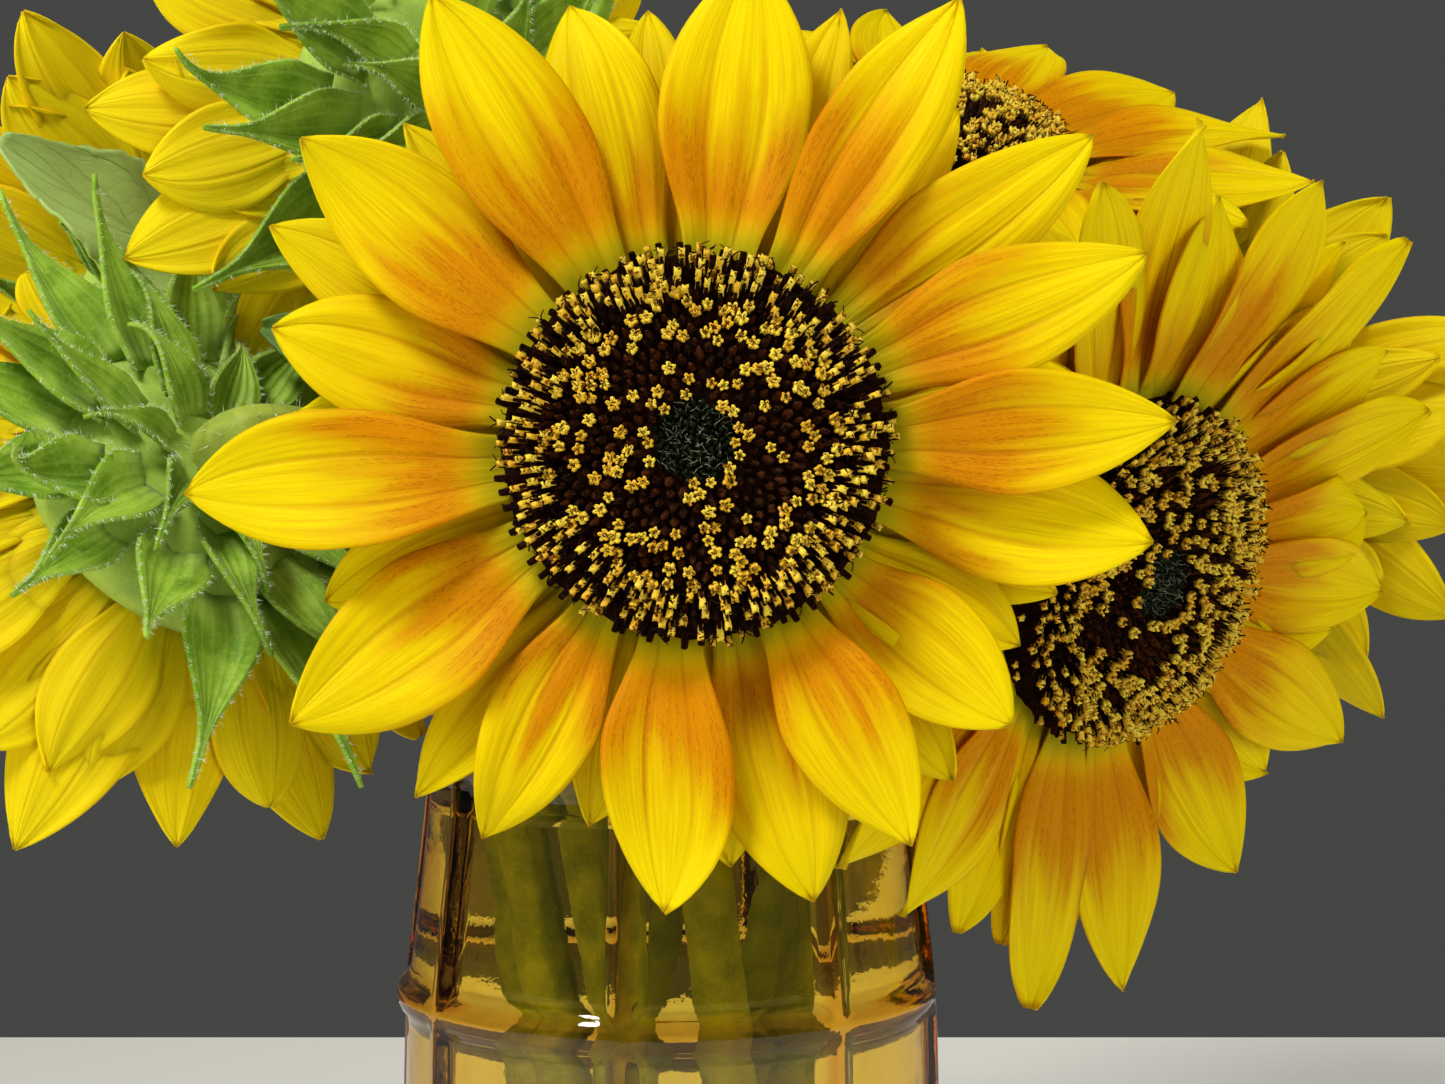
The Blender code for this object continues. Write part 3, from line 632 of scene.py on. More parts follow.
def ring_rays(name, blush):
    """Lays three rays for each arm: one along it, and two behind it in the gap that follows."""
    place, radius = HEADS[name]
    rng = random.Random(name)
    inner = radius - FOOT_INSET
    tips = arm_tips(name)
    step = FULL_TURN / len(tips)
    bm = blank("tone", "blush")
    for index, (turn, reach, height) in enumerate(tips):
        wide = min(WIDEST_RAY, 0.42 * (reach - inner) + 0.004) * rng.uniform(0.92, 1.10)
        place_ray(FINISHED_RAYS, bm, place, turn + rng.gauss(0, 0.05), inner, reach + 0.001, wide,
                  RING_BASES[0], height + 0.0008, rng, blush * rng.uniform(0.7, 1.1))
        _, after, after_height = tips[(index + 1) % len(tips)]
        between = min(reach, after) * rng.uniform(0.90, 1.0)
        low = (height + after_height) / 2
        place_ray(FINISHED_RAYS, bm, place, turn + step / 2 + rng.gauss(0, 0.06), inner, between, wide * 0.95,
                  RING_BASES[1], low - 0.0022, rng, blush * rng.uniform(0.4, 0.9))
        place_ray(FINISHED_RAYS, bm, place, turn + step * 0.28 + rng.gauss(0, 0.08), inner,
                  between * rng.uniform(0.82, 0.94), wide * 0.8, RING_BASES[2], low - 0.0036, rng,
                  FAINT_BLUSH)
    finish_rays(name + "_ray_ring", bm, name + "_rays")


RING_BLUSH = {"right_flower": 0.95, "upper_right_flower": 0.95, "far_left_flower": 0.5}
for name in RING_ARMS:
    ring_rays(name, RING_BLUSH.get(name, 0.35))
    print(name, "rays reach", rounded(reach for _, reach, _ in arm_tips(name)))

# %% [markdown]
# ## Florets
# The disc is hundreds of small tubes in a spiral: each floret is turned from the last by the golden angle.
# At the rim they are open, dark tubes with a yellow column of pollen and a curled tip. Further in they
# carry a small yellow star, then come closed red-brown buds, and the middle is green-black and downy. Each
# kind is modelled once from a cone or a circle, and copied over the dome of the disc.
# %% Floret shapes
def faces_above(bm, height, corners=0):
    """The faces whose middle is above a height, and that have so many corners, if that is given."""
    high = [f for f in bm.faces if f.calc_center_median().z > height]
    return [f for f in high if len(f.verts) == corners] if corners else high


def dark_tube(bm):
    """A floret's tube, one unit tall."""
    upright_cone(bm, 6, 0.16, 0.13)
    bmesh.ops.inset_region(bm, faces=faces_above(bm, 0.99), thickness=0.05, depth=-0.10)


def pollen_star(bm):
    """The open mouth of a floret: five rounded lobes round a hollow, one unit across."""
    bmesh.ops.create_circle(bm, segments=20, radius=0.5, cap_ends=True)
    for index, vert in enumerate(sorted(bm.verts, key=lambda v: math.atan2(v.co.y, v.co.x))):
        vert.co *= (1.0, 0.90, 0.58, 0.86)[index % 4] + 0.07 * math.sin(index * 2.3)
        vert.co.z = (0.06, -0.02, -0.12, 0.0)[index % 4]
    walls = bmesh.ops.extrude_face_region(bm, geom=list(bm.faces))
    top = [f for f in walls["geom"] if isinstance(f, bmesh.types.BMFace)]
    bmesh.ops.translate(bm, verts=list({v for f in top for v in f.verts}), vec=(0, 0, 0.30))
    bmesh.ops.inset_region(bm, faces=top, thickness=0.12, depth=0.10)
    bmesh.ops.inset_region(bm, faces=faces_above(bm, 0.1, 20), thickness=0.10, depth=-0.08)


def pollen_column(bm):
    """The long, fluted, pollen-covered column of a rim floret, one unit tall."""
    upright_cone(bm, 8, 0.34, 0.46)
    sides = [e for e in bm.edges if abs(e.verts[0].co.z - e.verts[1].co.z) > 0.5]
    bmesh.ops.subdivide_edges(bm, edges=sides, cuts=2, use_grid_fill=True)
    for index, vert in enumerate(bm.verts):
        flute = round(math.atan2(vert.co.y, vert.co.x) / (math.pi / 4)) % 2
        swell = (1.15 if flute else 0.62) * (1.0 + 0.22 * math.sin(index * 2.4))
        vert.co.x *= swell
        vert.co.y *= swell
        vert.co.z += 0.05 * math.sin(index * 4.1)


def closed_bud(bm):
    """A floret that hasn't opened: a pointed, five-sided scale, one unit tall and wide."""
    upright_cone(bm, 5, 0.30, 0.48, 0.40)
    bmesh.ops.inset_region(bm, faces=faces_above(bm, 0.39), thickness=0.13, depth=0.28)
    bmesh.ops.inset_region(bm, faces=faces_above(bm, 0.55, 5), thickness=0.20, depth=0.32)


def curled_thread(bm):
    """A dark stigma: a thin thread that curls over at its end, one unit tall."""
    ring = bmesh.ops.create_circle(bm, segments=4, radius=0.055, cap_ends=True)
    edges = list({e for v in ring["verts"] for e in v.link_edges})
    for _ in range(6):
        made = bmesh.ops.extrude_edge_only(bm, edges=edges)
        edges = [g for g in made["geom"] if isinstance(g, bmesh.types.BMEdge)]
        verts = [g for g in made["geom"] if isinstance(g, bmesh.types.BMVert)]
        high = verts[0].co.z
        bmesh.ops.translate(bm, verts=verts, vec=(0.30 * high * high, 0, 0.17))
        middle = sum((v.co for v in verts), Vector()) / len(verts)
        turn = Matrix.Translation(middle) @ Matrix.Rotation(0.30, 4, "Y") @ Matrix.Translation(-middle)
        bmesh.ops.transform(bm, verts=verts, matrix=turn)
    bmesh.ops.contextual_create(bm, geom=edges)


TUBE, STAR, COLUMN = template(dark_tube), template(pollen_star), template(pollen_column)
BUD, THREAD = template(closed_bud), template(curled_thread)
print("faces of a floret's parts:", [len(m.polygons) for m in (TUBE, STAR, COLUMN, BUD, THREAD)])


# %% [markdown]
# ## Floret finishes
# Every copy carries a number of its own, so that the pollen goes from lemon to ochre and the tubes from
# black-brown to red-brown. Fine noise on object coordinates gives both a grainy, downy surface.
# %% Floret materials
def floret_finish(name, dark, light, fresh, gap=None):
    """A finish that varies from copy to copy and has a fine grain, with painted shade in the low places
    between its clumps, where a colour for that is given.
    """
    m = Finish(name, Roughness=0.75, Specular_IOR_Level=0.10)
    grains = m.noise(m.place(), 2600.0, 3.0, 0.7)
    clumps = m.noise(m.place(), 1150.0, 2.0, 0.6)
    own = m.attribute("tint")
    colour = m.mix(own.step(0.1, 0.9), dark, light)
    colour = m.mix(grains.step(0.45, 0.7) * 0.6, colour, fresh)
    # painted shade: the low places between clumps, which the bump sinks, are painted the darker colour
    if gap:
        colour = m.mix(1.0 - clumps.step(0.38, 0.46), colour, gap)
    height = grains * 0.4 + clumps
    return m.set(Base_Color=colour, Roughness=grains * 0.3 + 0.55, Normal=m.bump(height, 0.00020, 0.8))


POLLEN = floret_finish("pollen_yellow", srgb(236, 180, 20), srgb(255, 222, 60), srgb(255, 244, 140),
                       srgb(124, 70, 10))
DARK_TUBE = floret_finish("floret_dark", srgb(16, 6, 4), srgb(40, 15, 8), srgb(70, 30, 14))
RED_BUD = floret_finish("floret_red_brown", srgb(20, 8, 3), srgb(64, 28, 8), srgb(104, 58, 16),
                        srgb(16, 6, 3))
GREEN_BUD = floret_finish("floret_green_black", srgb(8, 12, 7), srgb(26, 34, 14), srgb(52, 62, 30))
STIGMA = floret_finish("stigma_black", srgb(10, 5, 5), srgb(30, 12, 10), srgb(48, 20, 16))
DOWN = floret_finish("pale_down", srgb(112, 118, 92), srgb(166, 170, 142), srgb(196, 200, 176))


def disc_finish():
    """The ground of the disc, seen only between its florets."""
    m = Finish("disc_ground", Roughness=0.9, Specular_IOR_Level=0.03)
    pits = m.cells(m.place(), 620.0)
    grains = m.noise(m.place(), 900.0)
    colour = m.mix(pits.step(0.1, 0.7), srgb(14, 5, 3), srgb(34, 14, 7))
    return m.set(Base_Color=m.mix(grains.step(0.5, 0.8) * 0.5, colour, srgb(34, 30, 12)),
                 Normal=m.bump(pits, 0.0004, 0.8))


DISC_GROUND = disc_finish()

# %% [markdown]
# ## Fill the discs
# A floret stands square to the dome in the middle, and leans outwards at the rim. Its place on the dome
# comes from a ray cast onto the plain disc, which stays, as the ground between the florets.
# %% Florets of every head
GOLDEN_ANGLE = math.pi * (3.0 - math.sqrt(5.0))
FLORET_SPACING = 0.00100   # the spiral's growth for each floret
CENTRE_SPACING = 0.00052   # and in the downy middle, where they are still tiny
CENTRE_SHARE = 0.205       # the middle's share of the disc's radius
RIM_TUBES = 84             # dark tubes that lean out over the feet of the rays
FLORET_SINK = 0.0004       # the foot of a floret is this far under the dome
# how far from the middle, as a share of the radius, the stars get fewer, the columns start, and the
# closed buds give way to open tubes
INNER_STARS, FIRST_COLUMNS, OPEN_TUBES = 0.27, 0.45, 0.76
# the shape, the finish and the shading of each kind of copy
FLORET_KINDS = {
    "tube": (TUBE, DARK_TUBE, False), "star": (STAR, POLLEN, True), "column": (COLUMN, POLLEN, True),
    "bud": (BUD, RED_BUD, False), "green": (BUD, GREEN_BUD, False), "thread": (THREAD, STIGMA, True),
    "down": (THREAD, DOWN, True),
}


def any_way(rng):
    """A vector that points any way, about one unit long."""
    return Vector((rng.gauss(0, 1), rng.gauss(0, 1), rng.gauss(0, 1)))


def fill_disc(name):
    place, radius = HEADS[name]
    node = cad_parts[name + "_disc"]
    tree = BVHTree.FromPolygons([v.co for v in node.data.vertices], [p.vertices for p in node.data.polygons])
    node.data.materials.clear()
    node.data.materials.append(DISC_GROUND)
    facing = place.col[2].to_3d()
    turned_to = place.to_3x3()
    rng = random.Random(name)
    parts = {kind: [] for kind in FLORET_KINDS}

    def put(kind, *where):
        parts[kind].append(stand(*where))

    def seat(turn, far, lean, length):
        """Foot and axis of a floret whose top is this far from the middle of the disc."""
        back = far - length * math.sin(math.atan(lean))
        outward = turned_to @ Vector((math.cos(turn), math.sin(turn), 0.0))
        axis = (facing + outward * lean + any_way(rng) * 0.07).normalized()
        above = place @ Vector((back * math.cos(turn), back * math.sin(turn), 0.03))
        point = tree.ray_cast(above, -facing)[0]
        return (point - facing * FLORET_SINK if point else None), axis, outward

    def middle(index):
        """A tiny green-black bud, with pale down on it."""
        far, turn = CENTRE_SPACING * math.sqrt(index + 0.5), index * GOLDEN_ANGLE
        point, axis, _ = seat(turn, far, 0.3 * far / radius, 0.0)
        size = rng.uniform(0.0009, 0.0013)
        put("green", point, axis, turn, size, size * rng.uniform(0.9, 1.6))
        for _ in range(3):
            way = (axis + any_way(rng) * 0.55).normalized()
            root = point + axis * size * rng.uniform(0.5, 1.1)
            if rng.random() < 0.60 - 1.8 * far / radius:
                put("down", root, way, rng.uniform(*ANY_TURN), 0.0006, rng.uniform(0.0009, 0.0020))

    def starred_tube(turn, far, lean):
        """A tube with a star at its mouth, and further out with a column under it."""
        tall = rng.uniform(0.0022, 0.0030)
        point, axis, _ = seat(turn, far, lean, tall)
        put("tube", point, axis, turn, 0.0030, tall)
        put("star", point + axis * tall * 0.97, axis, turn * 3, rng.uniform(0.0016, 0.0022), 0.0024)
        if far / radius > FIRST_COLUMNS:
            put("column", point + axis * tall * 0.55, axis, turn, 0.0013, 0.0019 * (far / radius) + 0.0004)

    def brown_bud(turn, far, lean):
        """A closed scale, which leans out."""
        tall = rng.uniform(0.0020, 0.0029)
        point, axis, outward = seat(turn, far, lean * 0.8, tall)
        axis = (axis + outward * rng.uniform(0.1, 0.6)).normalized()
        put("bud", point, axis, turn * 2, rng.uniform(0.0012, 0.0018), tall)

    def open_tube(turn, far, lean):
        """A long tube of the outer ring, mostly with a column of pollen, and with curled stigmas."""
        tall, is_open = rng.uniform(0.0024, 0.0034), rng.random() < 0.72
        long = rng.uniform(0.0016, 0.0030) if is_open else rng.uniform(0.0002, 0.0010)
        point, axis, outward = seat(turn, far, lean, tall + long)
        if point is None:
            return
        put("tube", point, axis, turn, 0.0036, tall + long * 0.4)
        if is_open:
            wide = rng.uniform(0.0011, 0.0015)
            put("column", point + axis * tall * 0.85, axis, turn, wide, long + tall * 0.15)
        for _ in range(rng.choice((1, 1, 2, 2))):
            way = (axis + outward * 0.2 + any_way(rng) * 0.12).normalized()
            root = point + axis * (tall * 0.8 + long * 0.7)
            put("thread", root, way, rng.uniform(*ANY_TURN), 0.0028, rng.uniform(0.0012, 0.0020))

    for index in range(int((CENTRE_SHARE * radius / CENTRE_SPACING) ** 2)):
        middle(index)
    first, last = (int((share * radius / FLORET_SPACING) ** 2) for share in (CENTRE_SHARE, 1.0))
    for index in range(first, last):
        far, turn = FLORET_SPACING * math.sqrt(index + 0.5), index * GOLDEN_ANGLE + rng.gauss(0, 0.01)
        share = far / radius
        lean = 0.15 * share + 1.5 * share ** 4.5
        clumped = 0.5 + 0.5 * math.sin(3.0 * turn + 1.0) * math.cos(5.0 * turn + radius * 900)
        starred = 0.95 * clumped + 0.15 if share < INNER_STARS else (0.26 if share < 0.55 else 0.46)
        if share >= OPEN_TUBES:
            open_tube(turn, far, lean)
        elif rng.random() < starred:
            starred_tube(turn, far, lean)
        else:
            brown_bud(turn, far, lean)
    for index in range(RIM_TUBES):
        turn = (index + rng.uniform(0, 0.6)) * FULL_TURN / RIM_TUBES
        tall = rng.uniform(0.0030, 0.0042)
        point, axis, _ = seat(turn, radius * rng.uniform(0.985, 1.04), rng.uniform(1.2, 2.2), tall)
        put("tube", point - facing * 0.0008, axis, turn, 0.0040, tall)
        if rng.random() < 0.35:
            put("column", point + axis * tall * 0.6, axis, turn, 0.0011, tall * 0.4)
    for kind, (shape, finish, smooth) in FLORET_KINDS.items():
        add_copies(f"{name}_floret_{kind}", shape, parts[kind], finish, "disc_brown", smooth)
    return {kind: len(matrices) for kind, matrices in parts.items()}


for name in HEAD_NAMES:
    print(name, fill_disc(name))

# %% [markdown]
# ## Green finishes
# Bracts, stems and leaves share one idea: a green that is mottled by noise, paler where the surface is
# raised, and downy. The bracts get lines along them from their UV map, the leaves a net of veins.
# %% Bract and stem materials
DOWNY = {"Subsurface_Weight": 0.15, "Subsurface_Scale": 0.0015, "Subsurface_Radius": (0.5, 1.0, 0.1),
         "Sheen_Weight": 0.08, "Sheen_Roughness": 0.4}


def green_finish(name, deep, fresh, pale, lines):
    m = Finish(name, Roughness=0.6, Specular_IOR_Level=0.3, **DOWNY)
    across, along = m.uv()
    mottle = m.noise(m.place(), 160.0, 4.0)
    grains = m.noise(m.place(), 1500.0, 3.0, 0.7)
    ribs = (across * lines).math("SINE")
    colour = m.mix(mottle.step(0.3, 0.7), deep, fresh)
    colour = m.mix(grains.step(0.5, 0.75) * 0.35, colour, pale)
    colour = m.mix(ribs.step(0.4, 1.0) * 0.14, colour, pale)
    colour = m.mix((1.0 - along).step(0.75, 1.0) * 0.35, colour, pale)
    height = grains * 0.5 + ribs * 0.4 + mottle * 0.4
    return m.set(Base_Color=colour, Roughness=grains * 0.25 + 0.45, Normal=m.bump(height, 0.0003, 0.6))


BRACT_GREEN = green_finish("bract_green", srgb(104, 148, 22), srgb(158, 196, 58), srgb(206, 228, 118), 38.0)
STEM_GREEN = green_finish("stem_green", srgb(112, 136, 26), srgb(156, 176, 48), srgb(196, 208, 96), 75.0)


def hair_finish():
    m = Finish("pale_hair", Roughness=0.5, Subsurface_Weight=0.2, Subsurface_Scale=0.0005)
    own = m.attribute("tint")
    grains = m.noise(m.place(), 2000.0)
    colour = m.mix(own, srgb(176, 196, 128), srgb(232, 240, 208))
    return m.set(Base_Color=m.mix(grains * 0.3, colour, srgb(248, 250, 236)))


HAIR = hair_finish()


def hair(bm):
    """A stiff hair: a thin cone, one unit tall."""
    upright_cone(bm, 3, 0.5, 0.0)


HAIR_SHAPE = template(hair)

# %% [markdown]
# ## Bracts
# Behind every disc is a green receptacle, a shallow bowl turned by a spin, with four rows of leafy bracts.
# A bract is a grid shaped into a lance with a long, curled, thin tip, and stiff pale hairs stand along its
# edges. Two heads on the left are seen from behind, so their bracts are larger and stand out more, and
# those that would touch the front flower's rays are made shorter.
# %% Bracts
ROWS_BEHIND = {"front_flower": 3}   # rows of plain rays behind the first, where there are more than one
ROW_DEPTH = 0.0030
ROW_CLEARANCE = 0.0022   # between the last row of rays and the bracts
RECEPTACLE_DEPTH = 0.0055
LIVELY = ("lower_left_flower", "upper_left_flower")
BRACT_TRIES = 7          # times a bract is made shorter, while it is in the way
BRACT_GAP = 0.0012       # least distance between a bract and the rays of another head
NEAREST_BRACT = -0.080   # no bract reaches further forwards than this
BRACT_THICKNESS = 0.0007
BEND_STEPS = 40          # a bract's bend is added up in so many steps
BRACT_ACROSS, BRACT_ALONG = 6, 14
BRACT_HAIR_WIDTH = 0.00011


def bract_plane(name):
    """Height of a head's bracts behind its centre plane, as in the frame."""
    return -DISC_BACK - ROWS_BEHIND.get(name, 1) * ROW_DEPTH - ROW_CLEARANCE


def in_the_way(trees, points):
    """Whether a bract with these points touches another head's rays, or stands too far forwards."""
    too_near = any(point.y < NEAREST_BRACT for point in points)
    return too_near or any(tree.find_nearest(point, BRACT_GAP)[0] for point in points for tree in trees)


def add_bract(trees, bm, place, turn, inner, height, length, width, splay, curl, rng, hairs, hairiness):
    verts, t, s = flat_grid(bm, BRACT_ACROSS, BRACT_ALONG)
    shoulder = 0.78 + 0.22 * smoothstep(s / 0.25)
    taper = 1 - smoothstep((s - 0.20) / 0.60) * 0.90
    half = width / 2 * np.maximum(shoulder * taper * (1 - s ** 5 * 0.9), 0.012)
    tip_curl = curl * rng.uniform(0.6, 2.4)
    bend = splay + curl * s * s + tip_curl * np.clip(s - 0.5, 0, 1) ** 2
    walk = np.linspace(0, 1, BEND_STEPS + 1)
    lean = splay + curl * walk * walk + tip_curl * np.clip(walk - 0.5, 0, 1) ** 2
    sway = rng.gauss(0, 0.0040)
    seat = place @ Matrix.Rotation(turn, 4, "Z")
    fold = -np.abs(t) ** 1.5 * half * 0.50
    for _ in range(BRACT_TRIES):
        out = inner + np.concatenate(([0], np.cumsum(np.cos(lean[:-1]) * length / BEND_STEPS)))
        rise = height + np.concatenate(([0], np.cumsum(np.sin(lean[:-1]) * length / BEND_STEPS)))
        x = np.interp(s, walk, out) - fold * np.sin(bend)
        z = np.interp(s, walk, rise) + fold * np.cos(bend)
        y = half * t + sway * s * s
        points = [seat @ Vector(point) for point in np.c_[x, y, z]]
        if not in_the_way(trees, points):
            break
        length, half, fold, sway = length * 0.84, half * 0.92, fold * 0.92, sway * 0.7
    for vert, point in zip(verts, points):
        vert.co = point
    edge = [i for i in range(len(t)) if abs(t[i]) > 0.99 and s[i] < 0.97]
    for i in edge:
        for _ in range(hairiness):
            side = Vector((0, math.copysign(1.0, t[i]), 0)) + any_way(rng) * 0.40
            root = seat @ Vector((x[i] + rng.gauss(0, length / 50), y[i], z[i]))
            way = (seat.to_3x3() @ side).normalized()
            hairs.append(stand(root, way, 0.0, BRACT_HAIR_WIDTH, rng.uniform(0.0005, 0.0013)))


# %% Involucres
def receptacle(name):
    """The green bowl behind a disc."""
    place, radius = HEADS[name]
    height = bract_plane(name)
    back = height - RECEPTACLE_DEPTH
    rim = radius * (1.06 if name in LIVELY else 0.985)
    outline = ((0.0, back), (0.0045, back), (radius * 0.45, height - 0.0048),
               (radius * 0.75, height - 0.0030), (radius * 0.95, height + 0.0002),
               (rim * 0.99, height + 0.0026), (rim, -0.0040), (rim * 0.95, -0.0030), (0.0, -0.0030))
    bm = turned(outline, 40)
    bm.loops.layers.uv.new("UVMap")
    bmesh.ops.transform(bm, verts=bm.verts, matrix=place)
    add_piece(name + "_receptacle", bm, BRACT_GREEN, "bract_green", name + "_involucre")


def involucre(name, rows, length, hairiness):
    place, radius = HEADS[name]
    rng = random.Random(name + " bracts")
    height = bract_plane(name)
    bm = blank()
    hairs = []
    trees = FINISHED_RAYS[:len(FRONT_RAYS) + 1] if name in LIVELY else []
    for count, start, drop, share, splay, curl in rows:
        for index in range(count):
            turn = FULL_TURN * (index + start) / count + rng.gauss(0, 0.07)
            size = length * share * rng.uniform(0.85, 1.15)
            width = size * rng.uniform(0.36, 0.45)
            add_bract(trees, bm, place, turn, radius * start, height - drop, size, width,
                      splay + rng.gauss(0, 0.06), curl + rng.gauss(0, 0.25), rng, hairs, hairiness)
    add_wall(add_piece(name + "_bracts", bm, BRACT_GREEN, "bract_green"), BRACT_THICKNESS, -1.0)
    add_copies(name + "_bract_hairs", HAIR_SHAPE, hairs, HAIR, "bract_green")
    return sum(row[0] for row in rows), len(hairs)


# (bracts, start as a share of the disc's radius, depth behind the bract plane, length, splay, curl)
BRACT_ROWS = ((13, 0.88, 0.0006, 1.0, -0.10, -0.25), (12, 0.76, 0.0026, 0.95, -0.20, -0.40),
              (9, 0.56, 0.0040, 0.80, -0.32, -0.45), (6, 0.36, 0.0050, 0.55, -0.45, -0.7))
LIVELY_ROWS = ((11, 0.90, 0.0006, 1.05, -0.04, -0.35), (8, 0.74, 0.0026, 1.10, -0.18, -0.7),
               (7, 0.54, 0.0040, 0.80, -0.36, 0.3), (7, 0.32, 0.0050, 0.60, -0.62, 1.2))
# (rows, length of a bract, hairs at each point of its edges)
PLAIN_BRACTS = (BRACT_ROWS, 0.024, 2)
LIVELY_BRACTS = (LIVELY_ROWS, 0.029, 6)
for name in HEAD_NAMES:
    receptacle(name)
    count, hairs = involucre(name, *(LIVELY_BRACTS if name in LIVELY else PLAIN_BRACTS))
    print(name, "has", count, "bracts with", hairs, "hairs")

# %% [markdown]
# ## Stems
# A stem leaves the back of its head, bends over the rim of the vase and runs down to the floor. Its route is
# the frame's own, worked out again from the head's place. A circle is moved along it, with shallow ridges,
# and short hairs stand on the part above the glass.
# %% Stems
VASE_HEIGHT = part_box("vase")[1].z
VASE_FLOOR = 0.007
MOUTH_RADIUS = 0.0265
FOOT_RADIUS = 0.0150
STEM_TWIST = 62.0
NECK_LENGTH = 0.004
STEM_RADIUS = 0.0038
STEM_SIDES = 28
STEM_RIDGES, RIDGE_DEPTH = 7, 0.035  # the depth is a share of the radius
NECK_FLARE = 0.55        # how much wider a stem is where it meets its head
HAIR_SHARE = 0.42        # share of a stem's points above the glass that have a hair
STEM_HAIR_WIDTH = 0.00018
NECK_POINTS, GLASS_POINTS = 24, 14   # points of a route above the mouth and in the glass
# direction of the stem at the mouth in degrees, pull of its neck, pull of its mouth
STEM_BENDS = {"front_flower": (275, 0.030, 0.035), "right_flower": (338, 0.040, 0.060),
              "upper_right_flower": (80, 0.030, 0.060), "back_flower": (28, 0.040, 0.060),
              "upper_left_flower": (228, 0.040, 0.070), "far_left_flower": (145, 0.040, 0.060),
              "lower_left_flower": (190, 0.040, 0.060)}


def stem_route(name):
    """Points down the middle of a stem, from the back of its head to the floor of the vase."""
    place, _ = HEADS[name]
    facing = place.col[2].to_3d()
    turn, neck_pull, mouth_pull = STEM_BENDS[name]
    top = place @ Vector((0, 0, bract_plane(name) - RECEPTACLE_DEPTH))
    neck = top - facing * NECK_LENGTH
    at_mouth, at_foot = math.radians(turn), math.radians(turn + STEM_TWIST)
    mouth = Vector((MOUTH_RADIUS * math.cos(at_mouth), MOUTH_RADIUS * math.sin(at_mouth), VASE_HEIGHT))
    foot = Vector((FOOT_RADIUS * math.cos(at_foot), FOOT_RADIUS * math.sin(at_foot), VASE_FLOOR + 0.003))
    start, end = -facing * neck_pull, (foot - mouth).normalized() * mouth_pull
    points = [top + facing * 0.002, top]
    for index in range(NECK_POINTS):
        t = index / NECK_POINTS
        points.append(neck * (2 * t ** 3 - 3 * t ** 2 + 1) + start * (t ** 3 - 2 * t ** 2 + t)
                      + mouth * (3 * t ** 2 - 2 * t ** 3) + end * (t ** 3 - t ** 2))
    return points + [mouth.lerp(foot, index / GLASS_POINTS) for index in range(GLASS_POINTS + 1)]


def stem(name):
    route = stem_route(name)
    rng = random.Random(name + " stem")
    bm = blank()
    uv = bm.loops.layers.uv.active
    circle = bmesh.ops.create_circle(bm, segments=STEM_SIDES, radius=1.0, cap_ends=True)
    ring = sorted(circle["verts"], key=lambda v: math.atan2(v.co.y, v.co.x))
    shape = [v.co.copy() for v in ring]
    edges = list(bm.edges)
    side = Vector((0.31, 0.52, 0.79)).cross(route[1] - route[0]).normalized()
    hairs = []
    for index, point in enumerate(route):
        way = (route[min(index + 1, len(route) - 1)] - route[max(index - 1, 0)]).normalized()
        side = (side - way * side.dot(way)).normalized()
        other = way.cross(side)
        flare = 1.0 + NECK_FLARE * math.exp(-index / 2.2)
        if index:
            made = bmesh.ops.extrude_edge_only(bm, edges=edges)
            edges = [g for g in made["geom"] if isinstance(g, bmesh.types.BMEdge)]
            fresh = [g for g in made["geom"] if isinstance(g, bmesh.types.BMVert)]
            old = [vert.co.copy() for vert in ring]
            ring = sorted(fresh, key=lambda v: min(range(STEM_SIDES), key=lambda k: (old[k] - v.co).length))
        for k, vert in enumerate(ring):
            turn = math.atan2(shape[k].y, shape[k].x)
            size = STEM_RADIUS * flare * (1.0 + RIDGE_DEPTH * math.sin(STEM_RIDGES * turn + 0.1 * index))
            spoke = side * math.cos(turn) + other * math.sin(turn)
            vert.co = point + spoke * size
            if point.z > VASE_HEIGHT - 0.01 and rng.random() < HAIR_SHARE:
                root = vert.co.copy()
                lean = (spoke + Vector([rng.gauss(0, 0.4) for _ in range(3)])).normalized()
                hairs.append(stand(root, lean, 0.0, STEM_HAIR_WIDTH, rng.uniform(0.0008, 0.0020)))
    bmesh.ops.contextual_create(bm, geom=edges)
    for face in bm.faces:
        for loop in face.loops:
            offset = loop.vert.co - route[0]
            loop[uv].uv = (math.atan2(offset.y, offset.x) / 6.283, min(offset.length / 0.2, 0.7))
    bmesh.ops.recalc_face_normals(bm, faces=bm.faces)
    add_piece(name + "_stalk", bm, STEM_GREEN, "stem_green", name + "_stem")
    add_copies(name + "_stalk_hairs", HAIR_SHAPE, hairs, HAIR, "stem_green")
    return len(hairs)


for name in HEAD_NAMES:
    print(name, "stem has", stem(name), "hairs")

